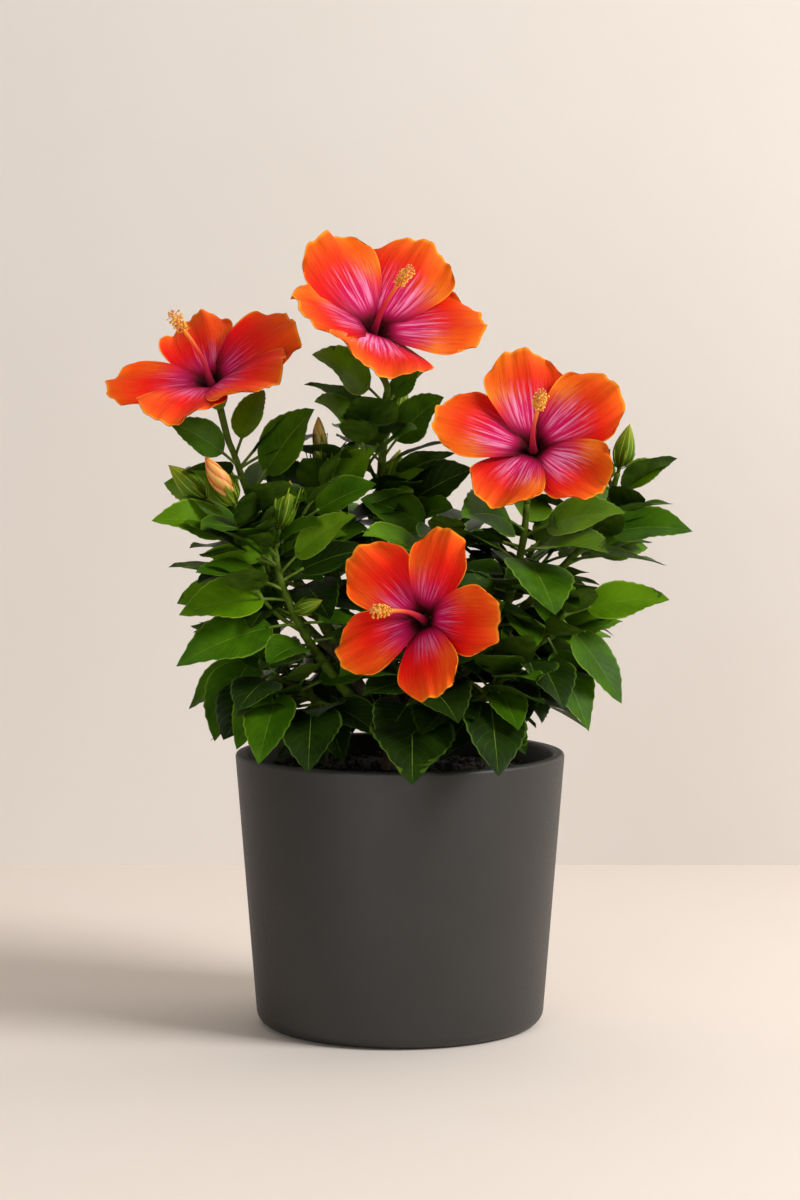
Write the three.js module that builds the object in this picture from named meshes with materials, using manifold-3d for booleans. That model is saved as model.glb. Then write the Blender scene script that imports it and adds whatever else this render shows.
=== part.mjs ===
// A potted hibiscus shrub with four open blooms, as an assembly of separate solids.
// Millimetres, +Z up, the blooms face -Y. The origin is the centre of the pot's flat underside.
//
// How the plant is put together: a short woody trunk stands on the soil and forks into boughs.
// Every shoot is one smooth curve. Its bare lower stretch is a bough, and its leafy upper stretch
// is the stem of a mass of foliage, which starts one gap further on. Twigs, leaf stalks, leaves
// and buds are fused to that stem. A bloom is fused to its own flowering stalk.

import * as THREE from "three";
import { mergeVertices } from "three/addons/utils/BufferGeometryUtils.js";
import Module from "manifold-3d";

const wasm = await Module();
wasm.setup();

// Driving dimensions
const GAP = 0.3; // clearance between two solids that meet
const POT = { rim: 115, foot: 100, height: 190, wall: 8, floor: 12, footRound: 9, rimRound: 3 };
const SOIL = { level: 177, dome: 3 };
const TRUNK = { foot: 15, top: 10, height: 37, lean: new THREE.Vector3(-4, -4, 0), sides: 10 };
const LEAF = {
  blade: 64, // length of a full-grown blade
  width: 0.62, // of the blade's length
  stalk: 0.22, // share of the reach that is leaf stalk
  keel: 0.012, // depth of the midrib under the blade, as a share of the blade's length
  fold: 0.09, // how far the margins rise above the midrib, as a share of half the width
  bow: 0.13, // how far a leaf arches above its chord, as a share of the reach
  stalkRadius: 1.2,
};
const PETAL = { throat: 4, halfWidth: 0.39, round: 0.26, thick: 1, across: 3, along: 4 };
const COLUMN = { length: 64, foot: 2, tip: 1.5, head: 5, headLength: 20 };
const CALYX = { length: 23, foot: 3, lip: 9.5, behind: 16 };
const BUD = { length: 34, radius: 7, stalkRadius: 1.3 };
const GOLDEN_TURN = 137.5; // degrees from one leaf to the next round a stem

const COLOURS = {
  pot: { color: 0x3d3a38, roughness: 0.55, metalness: 0 },
  soil: { color: 0x1d1510, roughness: 1, metalness: 0 },
  bark: { color: 0x5a4634, roughness: 0.9, metalness: 0 },
  leaf: { color: 0x24480f, roughness: 0.45, metalness: 0 },
  petal: { color: 0xe8501c, roughness: 0.6, metalness: 0 },
};

// Shoots. on: the shoot that it forks from and where, or null for the trunk. path: the points it
// runs through, to its tip. bare: the share that is bough. leaves: how many the rule grows.
// twigs: how many side twigs. phase: bearing of the first leaf. droop: how far its leaves hang, in
// degrees. bloom: the bloom at its end.
// shown: the leaves that the front view shows one by one, each [place on the shoot, tip x, y, z].
// buds: each [place on the shoot, tip x, y, z].
const SHOOTS = {
  centre: {
    on: null, path: [[-2, 4, 200], [-10, 14, 280], [-15, 10, 351], [-11, 6, 410], [-10, 4, 436]],
    bare: 0.33, radius: [4.8, 2.3], leaves: 9, twigs: 2, phase: 20, bloom: "top",
    shown: [
      [0.98, -60, -30, 466], [0.84, -58, -45, 434], [0.8, -25, -52, 438], [0.82, 30, -20, 437],
      [0.97, 13, 12, 456], [0.62, 50, -20, 388], [0.56, 36, -42, 362],
    ],
    buds: [[0.86, 3, 24, 449], [0.64, 0, 22, 400]],
  },
  upper_left: {
    on: null, path: [[-6, 0, 200], [-36, -8, 250], [-70, -22, 310], [-100, -24, 362], [-115, -18, 400]],
    bare: 0.36, radius: [4.4, 2.2], leaves: 10, twigs: 1, phase: 200, bloom: "upper_left",
    shown: [[0.95, -158, -34, 420], [0.98, -94, -4, 442], [0.85, -58, -45, 429], [0.8, -165, 12, 377]],
    buds: [],
  },
  upper_right: {
    on: null, path: [[5, -3, 200], [38, -10, 245], [72, -18, 292], [84, -22, 335], [87, -24, 364]],
    bare: 0.36, radius: [4.4, 2.2], leaves: 10, twigs: 1, phase: 60, bloom: "upper_right",
    shown: [
      [0.9, 41, -96, 358], [0.88, 152, -60, 359], [0.82, 139, -90, 334], [0.8, 102, -118, 295],
      [0.7, 120, -78, 296],
    ],
    buds: [],
  },
  front: {
    on: null, path: [[-2, -8, 200], [6, -36, 222], [16, -62, 246], [24, -78, 267]],
    bare: 0.35, radius: [3.8, 2.2], leaves: 5, twigs: 0, phase: 300, bloom: "front",
    shown: [[0.45, 8, -150, 187], [0.62, 38, -140, 226], [0.9, 71, -74, 300], [0.92, -20, -96, 316]],
    buds: [],
  },
  left_front: {
    on: null, path: [[-6, -6, 198], [-36, -46, 236], [-62, -68, 274], [-79, -76, 312], [-84, -72, 336]],
    bare: 0.36, radius: [4.4, 2], leaves: 7, twigs: 1, phase: 100, bloom: null,
    shown: [
      [0.97, -99, -112, 347], [0.9, -29, -112, 360], [0.93, -134, -62, 331], [0.86, -151, -60, 298],
      [0.8, -147, -95, 293], [0.7, -148, -108, 260], [0.6, -88, -112, 262],
    ],
    buds: [[1, -74, -60, 381], [0.75, -52, -84, 302]],
  },
  right_bud: {
    on: null, path: [[6, 4, 198], [52, 8, 252], [102, 10, 306], [138, 10, 346], [152, 10, 384]],
    bare: 0.36, radius: [4.2, 1.9], leaves: 12, twigs: 2, phase: 50, bloom: null,
    shown: [
      [0.93, 188, 8, 390], [0.95, 139, 26, 397], [0.78, 203, -4, 344], [0.72, 176, 40, 330],
      [0.86, 118, 40, 372],
    ],
    buds: [[1, 160, 10, 418]],
  },
  back: {
    on: null, path: [[0, 8, 200], [6, 42, 244], [8, 72, 290], [6, 88, 334]],
    bare: 0.38, radius: [4.4, 2], leaves: 11, twigs: 2, phase: 300, bloom: null, shown: [], buds: [],
  },
  left_buds: {
    on: ["upper_left", 0.26], path: [[-74, -26, 290], [-94, -42, 322], [-103, -54, 350]],
    bare: 0.3, radius: [3.4, 2], leaves: 7, twigs: 1, phase: 165, bloom: null,
    shown: [[0.92, -166, -80, 355], [0.95, -132, -98, 350]],
    buds: [[1, -129, -62, 394], [0.9, -157, -45, 391]],
  },
  centre_left: {
    on: ["centre", 0.12], path: [[-32, 12, 270], [-47, -4, 326], [-54, -18, 384]],
    bare: 0.32, radius: [3.8, 2], leaves: 11, twigs: 2, phase: 130, bloom: null,
    shown: [[0.88, -66, -44, 396], [0.86, -17, -32, 401], [0.8, -96, 6, 392], [0.92, -30, 22, 406]],
    buds: [[1, -56, -20, 422]],
  },
  middle: {
    on: ["centre", 0.16], path: [[12, -4, 268], [24, -24, 316], [30, -34, 346]],
    bare: 0.3, radius: [3.8, 2], leaves: 11, twigs: 2, phase: 40, bloom: null,
    shown: [[0.95, -27, -44, 368], [0.95, 14, -78, 340]],
    buds: [],
  },
  right_low: {
    on: ["right_bud", 0.1], path: [[56, -16, 232], [88, -34, 262], [113, -42, 290]],
    bare: 0.34, radius: [3.8, 2], leaves: 6, twigs: 1, phase: 330, bloom: null,
    shown: [
      [0.98, 183, -52, 300], [0.96, 151, -52, 229], [0.84, 128, -60, 211], [0.72, 109, -94, 230],
      [0.66, 90, -112, 250],
    ],
    buds: [],
  },
  front_right: {
    on: ["upper_right", 0.1], path: [[36, -34, 222], [56, -58, 236], [68, -70, 246]],
    bare: 0.35, radius: [3.4, 2], leaves: 4, twigs: 0, phase: 250, bloom: null,
    shown: [[0.98, 88, -130, 253], [0.9, 78, -120, 219], [0.85, 64, -146, 192], [0.7, 84, -92, 199]],
    buds: [],
  },
  left_low: {
    on: ["left_front", 0.1], path: [[-34, -32, 214], [-62, -52, 234], [-86, -70, 250]],
    bare: 0.3, radius: [3.6, 2], leaves: 4, twigs: 0, phase: 90, bloom: null,
    shown: [
      [1, -109, -95, 203], [0.9, -93, -124, 197], [0.96, -106, -130, 233], [0.62, -60, -134, 193],
      [0.55, -38, -90, 194], [0.8, -82, -44, 196],
    ],
    buds: [],
  },
  back_left: {
    on: ["back", 0.2], path: [[-30, 42, 250], [-66, 60, 292], [-88, 66, 334]],
    bare: 0.36, radius: [3.8, 2], leaves: 11, twigs: 3, phase: 75, bloom: null, shown: [], buds: [],
  },
  back_right: {
    on: ["back", 0.24], path: [[44, 48, 252], [78, 62, 290], [96, 68, 330]],
    bare: 0.34, radius: [3.8, 2], leaves: 11, twigs: 3, phase: 15, bloom: null, shown: [], buds: [],
  },
  low_left: {
    on: ["upper_left", 0.08], path: [[-46, 16, 224], [-80, 24, 242], [-104, 26, 264]],
    bare: 0.34, radius: [3.4, 1.9], leaves: 12, twigs: 2, phase: 140, droop: 22, bloom: null,
    shown: [[0.95, -128, -26, 200], [0.7, -120, -58, 205], [0.9, -150, 30, 216]], buds: [],
  },
  low_right: {
    on: ["right_bud", 0.06], path: [[48, 22, 220], [84, 30, 238], [108, 30, 258]],
    bare: 0.34, radius: [3.4, 1.9], leaves: 12, twigs: 2, phase: 320, droop: 22, bloom: null,
    shown: [], buds: [],
  },
  low_back: {
    on: ["back", 0.08], path: [[-8, 48, 220], [-14, 80, 238], [-16, 102, 256]],
    bare: 0.34, radius: [3.4, 1.9], leaves: 12, twigs: 3, phase: 200, droop: 22, bloom: null,
    shown: [], buds: [],
  },
};

// Blooms. throat: the middle of the dark eye. axis: the way the bloom faces. reach: from the eye
// to a petal's end. petals: bearing of each petal round the axis. wide and long: how broad and how
// long each one is. wave: the angle at which its ruffles start. open: how far the petals lie back,
// 90 degrees being flat. hand: which side of a petal lies over its neighbour. tilt: how far each
// one is raised on that side.
const BLOOMS = {
  top: {
    throat: [-19, -5, 480], axis: [0.31, -0.64, 0.7], column: [0.38, -0.62, 0.66], reach: 75,
    petals: [2, 67, 133, 200, 268], wide: [1.22, 1.12, 1.08, 1, 1.3],
    long: [1, 1.08, 1, 0.95, 0.98], wave: [1.9, 1.2, 1.5, 1.5, -1.6],
    tilt: [0.04, 0.04, 0.04, -0.06, 0.04], open: 66, hand: -1,
  },
  upper_left: {
    throat: [-128, -25, 443], axis: [-0.28, -0.49, 0.83], column: [-0.38, -0.52, 0.76], reach: 71,
    petals: [318, 20, 101, 180, 250], wide: [1.2, 1.15, 0.97, 0.8, 1.15],
    long: [0.98, 0.98, 1, 1, 0.93], wave: [-1.5, 1.5, 2.6, 1.5, -1.6],
    tilt: [0, -0.1, 0.02, 0.05, 0.05], open: 74, hand: -1,
  },
  upper_right: {
    throat: [90, -50, 400], axis: [-0.03, -0.83, 0.56], column: [0.05, -0.78, 0.62], reach: 70,
    petals: [33, 96, 165, 241, 317], wide: [1.02, 1.03, 1.05, 0.98, 0.95],
    long: [1, 1, 1, 0.87, 0.9], wave: [1.5, 1.5, 1.5, -1.5, -1.6],
    tilt: [0.06, 0.06, 0.06, 0.06, 0.06], open: 72, hand: 1,
  },
  front: {
    throat: [17, -115, 291], axis: [-0.44, -0.86, 0.27], column: [-0.52, -0.84, 0.17], reach: 61,
    petals: [350, 66, 132, 202, 282], wide: [0.98, 0.84, 1.02, 0.98, 1],
    long: [1.02, 1, 1.07, 1, 0.94], wave: [1.5, 1.5, 1.5, 1.5, 1.6],
    tilt: [0.06, 0.06, 0.06, 0.06, 0.06], open: 76, hand: 1,
  },
};

// Small helpers
const vec = (a) => new THREE.Vector3(...a);
const rad = THREE.MathUtils.degToRad;
const lerp = THREE.MathUtils.lerp;
const UP = new THREE.Vector3(0, 0, 1);

// A repeatable number from 0 to 1 for a pair of counts.
function chance(a, b) {
  const s = Math.sin(a * 127.1 + b * 311.7 + 74.7) * 43758.5453;
  return s - Math.floor(s);
}

// The direction with that bearing (0 is +X, 90 is +Y) and rise above the level, in degrees.
function heading(bearing, rise) {
  const b = rad(bearing),
    r = rad(rise);
  return new THREE.Vector3(Math.cos(r) * Math.cos(b), Math.cos(r) * Math.sin(b), Math.sin(r));
}

// A three.js geometry as a manifold solid, its faces turned out if they point in.
function solid(geometry) {
  const bare = geometry.clone();
  for (const name of ["normal", "uv"]) bare.deleteAttribute(name);
  const merged = mergeVertices(bare, 1e-4);
  const triVerts = new Uint32Array(merged.index.array);
  const build = () =>
    new wasm.Manifold(
      new wasm.Mesh({
        numProp: 3,
        vertProperties: new Float32Array(merged.attributes.position.array),
        triVerts,
      }),
    );
  const made = build();
  if (made.volume() > 0) return made;
  for (let i = 0; i < triVerts.length; i += 3)
    [triVerts[i + 1], triVerts[i + 2]] = [triVerts[i + 2], triVerts[i + 1]];
  return build();
}

// A manifold solid as a named three.js mesh.
function meshOf(name, made, look) {
  const { numProp, numVert, vertProperties, triVerts } = made.getMesh();
  const position = new Float32Array(numVert * 3);
  for (let i = 0; i < numVert; i++)
    position.set(vertProperties.subarray(i * numProp, i * numProp + 3), i * 3);
  const geometry = new THREE.BufferGeometry()
    .setAttribute("position", new THREE.BufferAttribute(position, 3))
    .setIndex(new THREE.BufferAttribute(triVerts, 1));
  geometry.computeVertexNormals();
  const mesh = new THREE.Mesh(geometry, new THREE.MeshStandardMaterial(COLOURS[look]));
  mesh.name = name;
  return mesh;
}

// Moves every vertex of a geometry by a function of its position.
function reshape(geometry, move) {
  const p = geometry.attributes.position;
  for (let i = 0; i < p.count; i++)
    p.setXYZ(i, ...move(new THREE.Vector3().fromBufferAttribute(p, i), i).toArray());
  return geometry;
}

// Side directions carried along a curve without twist, one pair for each step.
function framesAlong(curve, from, to, steps) {
  const frames = [];
  for (let i = 0; i <= steps; i++) {
    const t = lerp(from, to, i / steps);
    const along = curve.getTangentAt(t);
    const seed = i ? frames[i - 1].side : Math.abs(along.z) < 0.9 ? UP : new THREE.Vector3(1, 0, 0);
    const side = seed.clone().addScaledVector(along, -seed.dot(along)).normalize();
    frames.push({ point: curve.getPointAt(t), side, other: along.clone().cross(side) });
  }
  return frames;
}

// A tapering limb of round section along part of a curve, cut flat at both ends.
function limb(curve, radiusAt, { sides = 6, steps = 6, from = 0, to = 1, grow = 0 } = {}) {
  const frames = framesAlong(curve, from, to, steps);
  const tube = new THREE.CylinderGeometry(1, 1, 1, sides, steps);
  reshape(tube, (v) => {
    const row = Math.round((v.y + 0.5) * steps);
    const { point, side, other } = frames[row];
    const r = radiusAt(lerp(from, to, row / steps)) + grow;
    return point.clone().addScaledVector(side, v.x * r).addScaledVector(other, v.z * r);
  });
  return solid(tube);
}

const line = (...points) => new THREE.CatmullRomCurve3(points, false, "catmullrom", 0.5);
const taper = (a, b) => (t) => lerp(a, b, t);

// The pot and its soil
function potProfile() {
  const { rim, foot, height, wall, floor, footRound, rimRound } = POT;
  const outerAt = (z) => lerp(foot, rim, z / height);
  const profile = [new THREE.Vector2(0, 0)];
  const round = (cx, cz, r, start, end, steps) => {
    for (let i = 0; i <= steps; i++) {
      const a = rad(lerp(start, end, i / steps));
      profile.push(new THREE.Vector2(cx + r * Math.cos(a), cz + r * Math.sin(a)));
    }
  };
  round(outerAt(footRound) - footRound, footRound, footRound, -90, 0, 4);
  round(rim - rimRound, height - rimRound, rimRound, 0, 90, 3);
  round(rim - wall + rimRound, height - rimRound, rimRound, 90, 180, 3);
  profile.push(new THREE.Vector2(outerAt(floor) - wall, floor), new THREE.Vector2(0, floor));
  return profile;
}

function pot() {
  const lathe = new THREE.LatheGeometry(potProfile(), 48);
  return solid(lathe.rotateX(Math.PI / 2));
}

// The pot's inner radius at a height, which the soil follows one gap in.
function innerAt(z) {
  const { rim, foot, height, wall, floor, rimRound } = POT;
  const low = lerp(foot, rim, floor / height) - wall;
  return lerp(low, rim - wall, (z - floor) / (height - rimRound - floor));
}

function soil() {
  const low = POT.floor + GAP,
    edge = SOIL.level - SOIL.dome;
  const profile = [
    [0, low],
    [innerAt(low) - 2 * GAP, low],
    [innerAt(edge) - 2 * GAP, edge],
    [innerAt(edge) * 0.7, SOIL.level - SOIL.dome * 0.35],
    [TRUNK.foot * 1.6, SOIL.level],
    [0, SOIL.level],
  ].map(([r, z]) => new THREE.Vector2(r, z));
  return solid(new THREE.LatheGeometry(profile, 24).rotateX(Math.PI / 2));
}

// The trunk: root flare at the flat cut, lean, and a blunt top where the boughs leave it.
const TRUNK_LINE = line(
  new THREE.Vector3(0, 0, SOIL.level + GAP),
  new THREE.Vector3(0, 0, SOIL.level + GAP + TRUNK.height * 0.5),
  new THREE.Vector3(0, 0, SOIL.level + GAP + TRUNK.height).add(TRUNK.lean),
);
const trunkRadius = (t) => lerp(TRUNK.foot * 0.8, TRUNK.top, t) + 6 * Math.max(0, 0.35 - t);
const trunk = (grow) => limb(TRUNK_LINE, trunkRadius, { sides: TRUNK.sides, steps: 5, grow });

// A leaf: a four-sided lens along a midrib that leaves its stalk, arches and droops to the tip.
function leafLine(root, tip, bow) {
  const middle = root.clone().lerp(tip, 0.5);
  middle.z += bow * root.distanceTo(tip);
  return new THREE.QuadraticBezierCurve3(root, middle, tip);
}

// The way a leaf's upper face looks: up and outwards, and a leaf in front also to the light there.
const FRONT_LIGHT = new THREE.Vector3(0.1, -0.9, 0);

function leafFace(point, along, spec) {
  const face = UP.clone().addScaledVector(new THREE.Vector3(point.x, point.y, 0).normalize(), 0.6);
  if (spec.shown) face.add(FRONT_LIGHT);
  face.addScaledVector(along, -face.dot(along)).normalize();
  return face.applyAxisAngle(along, spec.roll);
}

// Cross-sections of a leaf, each [place on its line, half the width as a share of the blade's].
const LEAF_SECTIONS = [
  [0.03, 0],
  [LEAF.stalk, 0],
  [lerp(LEAF.stalk, 1, 0.36), 1],
  [lerp(LEAF.stalk, 1, 0.72), 0.68],
];

// A leaf is one closed body of three-sided sections: its stalk, then a blade folded at the midrib.
function leaf(spec) {
  const curve = leafLine(spec.root, spec.tip, spec.bow);
  const length = spec.root.distanceTo(spec.tip) * (1 - LEAF.stalk);
  const half = spec.width * length * 0.5;
  const rows = LEAF_SECTIONS.length + 1;
  const blade = new THREE.SphereGeometry(1, 3, rows);
  return solid(
    reshape(blade, (_, i) => {
      const row = Math.floor(i / 4);
      if (row === 0) return spec.root.clone();
      if (row === rows) return spec.tip.clone();
      const [t, share] = LEAF_SECTIONS[row - 1];
      const point = curve.getPoint(t),
        along = curve.getTangent(t);
      const face = leafFace(point, along, spec),
        side = along.clone().cross(face);
      const margin = [-1, 0, 1][i % 4 === 3 ? 0 : i % 4];
      const reach = share > 0 ? share * half : LEAF.stalkRadius;
      const lift = share > 0 ? LEAF.fold * reach : LEAF.stalkRadius * 0.5;
      const drop = share > 0 ? LEAF.keel * length : LEAF.stalkRadius;
      return point.addScaledVector(side, margin * reach).addScaledVector(face, margin ? lift : -drop);
    }),
  );
}

// A bud: a pointed egg on a stalk that bends up into it.
function bud(root, tip) {
  const sides = 5,
    rows = 4;
  const reach = tip.clone().sub(root);
  const axis = reach.clone().normalize();
  const length = Math.min(BUD.length, reach.length() * 0.9);
  const foot = tip.clone().addScaledVector(axis, -length);
  const turn = new THREE.Quaternion().setFromUnitVectors(new THREE.Vector3(0, 1, 0), axis);
  const egg = reshape(new THREE.SphereGeometry(1, sides, rows), (v, i) => {
    const s = Math.floor(i / (sides + 1)) / rows;
    const swell = s < 1 ? Math.pow(Math.sin(Math.PI * Math.pow(s, 0.72)), 0.9) : 0;
    const spread = Math.hypot(v.x, v.z) || 1;
    const r = (BUD.radius * swell) / spread;
    return new THREE.Vector3(v.x * r, s * length, v.z * r).applyQuaternion(turn).add(foot);
  });
  const stalkEnd = foot.clone().addScaledVector(axis, 0.2 * length);
  const stalk = limb(line(root, stalkEnd), () => BUD.stalkRadius, { sides: 3, steps: 1 });
  return wasm.Manifold.union([stalk, solid(egg)]);
}

// A bloom: five petals on a funnel, a column of stamens, a calyx, and its flowering stalk.
function bloomFrame({ throat, axis }) {
  const a = vec(axis).normalize();
  const across = new THREE.Vector3(1, 0, 0).addScaledVector(a, -a.x).normalize();
  return { origin: vec(throat), a, across, up: a.clone().cross(across) };
}

// Radius and height of a petal's midline at a share v of its length.
function petalPath(v, k, bloom) {
  const steps = 12,
    step = (v * bloom.reach * bloom.long[k]) / steps;
  let r = PETAL.throat,
    h = 0;
  for (let i = 0; i < steps; i++) {
    const w = ((i + 0.5) / steps) * v;
    const lie = rad(lerp(24, bloom.open, THREE.MathUtils.smoothstep(w, 0, 0.22)) + 14 * w * w);
    r += Math.sin(lie) * step;
    h += Math.cos(lie) * step;
  }
  return { r, h };
}

// A point of petal k: u runs from -1 to 1 across it, v from 0 at the throat to 1 at its end.
function petalPoint(u, v, k, bloom) {
  const { r, h } = petalPath(v - PETAL.round * Math.abs(u * v) ** 3, k, bloom);
  const half = PETAL.halfWidth * bloom.wide[k] * bloom.reach * Math.sin(Math.PI * (0.05 + 0.6 * v));
  const wave = bloom.wave[k];
  const ruffle = 0.05 * v * v * Math.sin(4.2 * u + wave) + 0.022 * v ** 3 * Math.sin(9 * u + 2 * wave);
  const overlap = bloom.tilt[k] * bloom.hand * u * Math.min(1, 2.5 * v);
  const cup = 0.05 * u * u * v;
  return { x: r, y: u * half, h: h + bloom.reach * (ruffle + overlap + cup) };
}

function petal(k, bloom, frame) {
  const { across: nu, along: nv } = PETAL;
  const angle = rad(bloom.petals[k]);
  const out = frame.across.clone().multiplyScalar(Math.cos(angle)).addScaledVector(frame.up, Math.sin(angle));
  const side = frame.a.clone().cross(out);
  return solid(
    reshape(new THREE.BoxGeometry(1, 1, 1, nu, nv, 1), (b) => {
      const { x, y, h } = petalPoint(2 * b.x, b.y + 0.5, k, bloom);
      return frame.origin
        .clone()
        .addScaledVector(out, x)
        .addScaledVector(side, y)
        .addScaledVector(frame.a, h + b.z * PETAL.thick);
    }),
  );
}

function bloomSolid(bloom, foot) {
  const frame = bloomFrame(bloom);
  const at = (h) => frame.origin.clone().addScaledVector(frame.a, h);
  const parts = bloom.petals.map((_, k) => petal(k, bloom, frame));
  const calyx = line(at(-CALYX.behind), at(CALYX.length - CALYX.behind));
  parts.push(limb(calyx, (t) => lerp(CALYX.foot, CALYX.lip, Math.sqrt(t)), { sides: 6, steps: 2 }));
  const tip = frame.origin.clone().addScaledVector(vec(bloom.column).normalize(), COLUMN.length);
  const column = line(at(0), at(COLUMN.length * 0.45), tip);
  parts.push(limb(column, taper(COLUMN.foot, COLUMN.tip), { sides: 4, steps: 2 }));
  const head = (t) => (t < 0.99 && t > 1 - COLUMN.headLength / COLUMN.length + 0.01 ? COLUMN.head : 2.4);
  parts.push(limb(column, head, { sides: 6, steps: 2, from: 1 - COLUMN.headLength / COLUMN.length }));
  const stalk = line(foot.point, foot.point.clone().addScaledVector(foot.along, 10), at(1 - CALYX.behind));
  parts.push(limb(stalk, taper(foot.radius, CALYX.foot * 0.8), { sides: 5, steps: 4 }));
  return wasm.Manifold.union(parts);
}

// Where a leaf may not go: into the pot, the soil or the bowl of a bloom.
function hitsPot(p) {
  const r = Math.hypot(p.x, p.y);
  if (p.z < SOIL.level + 4) return r < POT.rim + 6;
  return p.z < POT.height + 3 && r > POT.rim - POT.wall - 4 && r < POT.rim + 6;
}

function hitsBloom(p) {
  return Object.values(BLOOMS).some((bloom) => {
    const { origin, a } = bloomFrame(bloom);
    const d = p.clone().sub(origin),
      h = d.dot(a);
    return h > -12 && h < 150 && d.addScaledVector(a, -h).length() < bloom.reach;
  });
}

// The shoots as curves, worked out first, because each leaf is tested against all of them.
const STEMS = {};
for (const [name, shoot] of Object.entries(SHOOTS)) {
  const start = shoot.on ? [STEMS[shoot.on[0]].getPointAt(shoot.on[1])] : [];
  STEMS[name] = line(...start, ...shoot.path.map(vec));
}

function distanceToStem(p, name) {
  let best = Infinity;
  for (let i = 0; i <= 8; i++)
    best = Math.min(best, p.distanceTo(STEMS[name].getPointAt(lerp(SHOOTS[name].bare, 1, i / 8))));
  return best;
}

// A mass keeps to its own space: a leaf whose tip is well nearer another shoot is skipped.
const OWN_SPACE = 0.4;

function inOwnSpace(p, name) {
  const own = distanceToStem(p, name);
  return Object.keys(SHOOTS).every((other) => other === name || distanceToStem(p, other) > own * OWN_SPACE);
}

// The rule that grows a shoot: its side twigs, the leaves shown one by one, then the others,
// a golden turn apart, longer and lower at the foot and shorter and steeper at the tip.
function growShoot(name, count) {
  const shoot = SHOOTS[name],
    stem = STEMS[name];
  const twigs = [],
    leaves = [];
  const leafTo = (root, tip, n, shown) => {
    const spec = {
      root,
      tip,
      bow: LEAF.bow * (0.8 + 0.5 * chance(count, n + 11)),
      roll: shown ? 0 : rad(36 * (chance(count, n + 23) - 0.5)),
      width: LEAF.width * (0.92 + 0.16 * chance(count, n + 37)),
      shown,
    };
    const curve = leafLine(root, tip, spec.bow);
    const probes = [0.5, 0.75, 1].map((t) => curve.getPoint(t));
    const free = shown || (inOwnSpace(tip, name) && !probes.some((p) => hitsPot(p) || hitsBloom(p)));
    if (free) leaves.push(spec);
  };
  shoot.shown.forEach(([t, ...tip], i) => leafTo(stem.getPointAt(t), vec(tip), 100 + i, true));
  for (let j = 0; j < shoot.twigs; j++) {
    const t = lerp(shoot.bare + 0.12, 0.85, (j + 0.5) / shoot.twigs);
    const bearing = shoot.phase + 97 + GOLDEN_TURN * j;
    const root = stem.getPointAt(t);
    const reach = 34 + 14 * chance(count, j + 51);
    const tip = root.clone().addScaledVector(heading(bearing, 28 + 14 * chance(count, j + 61)), reach);
    if (hitsPot(tip) || hitsBloom(tip)) continue;
    const twig = line(root, root.clone().lerp(tip, 0.5).add(new THREE.Vector3(0, 0, -3)), tip);
    twigs.push(twig);
    [-58, 52, 4].forEach((turn, i) => {
      const at = twig.getPointAt(0.6 + 0.2 * i);
      const rise = 8 + 24 * chance(count, j * 7 + i + 71);
      const end = at.clone().addScaledVector(heading(bearing + turn, rise), 66 - 6 * i);
      leafTo(at, end, 200 + j * 10 + i, false);
    });
  }
  for (let i = 0; i < shoot.leaves; i++) {
    const share = (i + 0.5) / shoot.leaves;
    const root = stem.getPointAt(lerp(shoot.bare + 0.06, 0.97, share));
    const rise = lerp(-14, 38, share) + 20 * (chance(count, i) - 0.5) - (shoot.droop ?? 0);
    const size = lerp(1, 0.68, share) * (0.88 + 0.2 * chance(count, i + 5));
    const reach = (size * LEAF.blade) / (1 - LEAF.stalk);
    const tip = root.clone().addScaledVector(heading(shoot.phase + GOLDEN_TURN * i, rise), reach);
    leafTo(root, tip, i, false);
  }
  return { twigs, leaves };
}

// Building in order: a solid that comes later is kept clear of what other nodes already hold.
const plant = new THREE.Group();
const taken = [];

function claim(owner, made) {
  taken.push({ owner, made, box: made.boundingBox() });
}

function place(name, made, look) {
  claim(name, made);
  plant.add(meshOf(name, made, look));
}

const boxesMeet = (a, b) => [0, 1, 2].every((i) => a.min[i] - GAP < b.max[i] && b.min[i] - GAP < a.max[i]);

function isClear(owner, made) {
  const box = made.boundingBox();
  return taken.every(
    (other) => other.owner === owner || !boxesMeet(box, other.box) || made.minGap(other.made, 2 * GAP) >= GAP,
  );
}

const largestBody = (made) => made.decompose().sort((a, b) => b.volume() - a.volume())[0];

place("pot", pot(), "pot");
place("soil", soil(), "soil");
place("trunk", trunk(0), "bark");

// Boughs start in the middle line of what they fork from and are cut back one gap clear of it.
const cutters = [trunk(GAP)];
for (const [name, shoot] of Object.entries(SHOOTS)) {
  const radiusAt = taper(...shoot.radius);
  const options = { sides: 6, steps: 4, to: shoot.bare };
  let made = limb(STEMS[name], radiusAt, options);
  for (const cutter of cutters) made = made.subtract(cutter);
  cutters.push(limb(STEMS[name], radiusAt, { ...options, grow: GAP }));
  place("bough_" + name, largestBody(made), "bark");
}

// Blooms, each on its flowering stalk one gap above the tip of its shoot.
for (const [name, shoot] of Object.entries(SHOOTS)) {
  if (!shoot.bloom) continue;
  const along = STEMS[name].getTangentAt(1);
  const point = STEMS[name].getPointAt(1).addScaledVector(along, GAP);
  const made = bloomSolid(BLOOMS[shoot.bloom], { point, along, radius: shoot.radius[1] });
  place("bloom_" + shoot.bloom, made, "petal");
}

// The foliage, in two rounds, so that the leaves the front view shows come before the others.
// A leaf, twig or bud that would touch a limb, a bloom or another mass is skipped.
const masses = Object.entries(SHOOTS).map(([name, shoot], count) => {
  const start = shoot.bare + GAP / STEMS[name].getLength();
  const stem = limb(STEMS[name], taper(...shoot.radius), { sides: 5, steps: 4, from: start });
  claim("foliage_" + name, stem);
  return { name: "foliage_" + name, shoot, stem: STEMS[name], parts: [stem], ...growShoot(name, count) };
});

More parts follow.
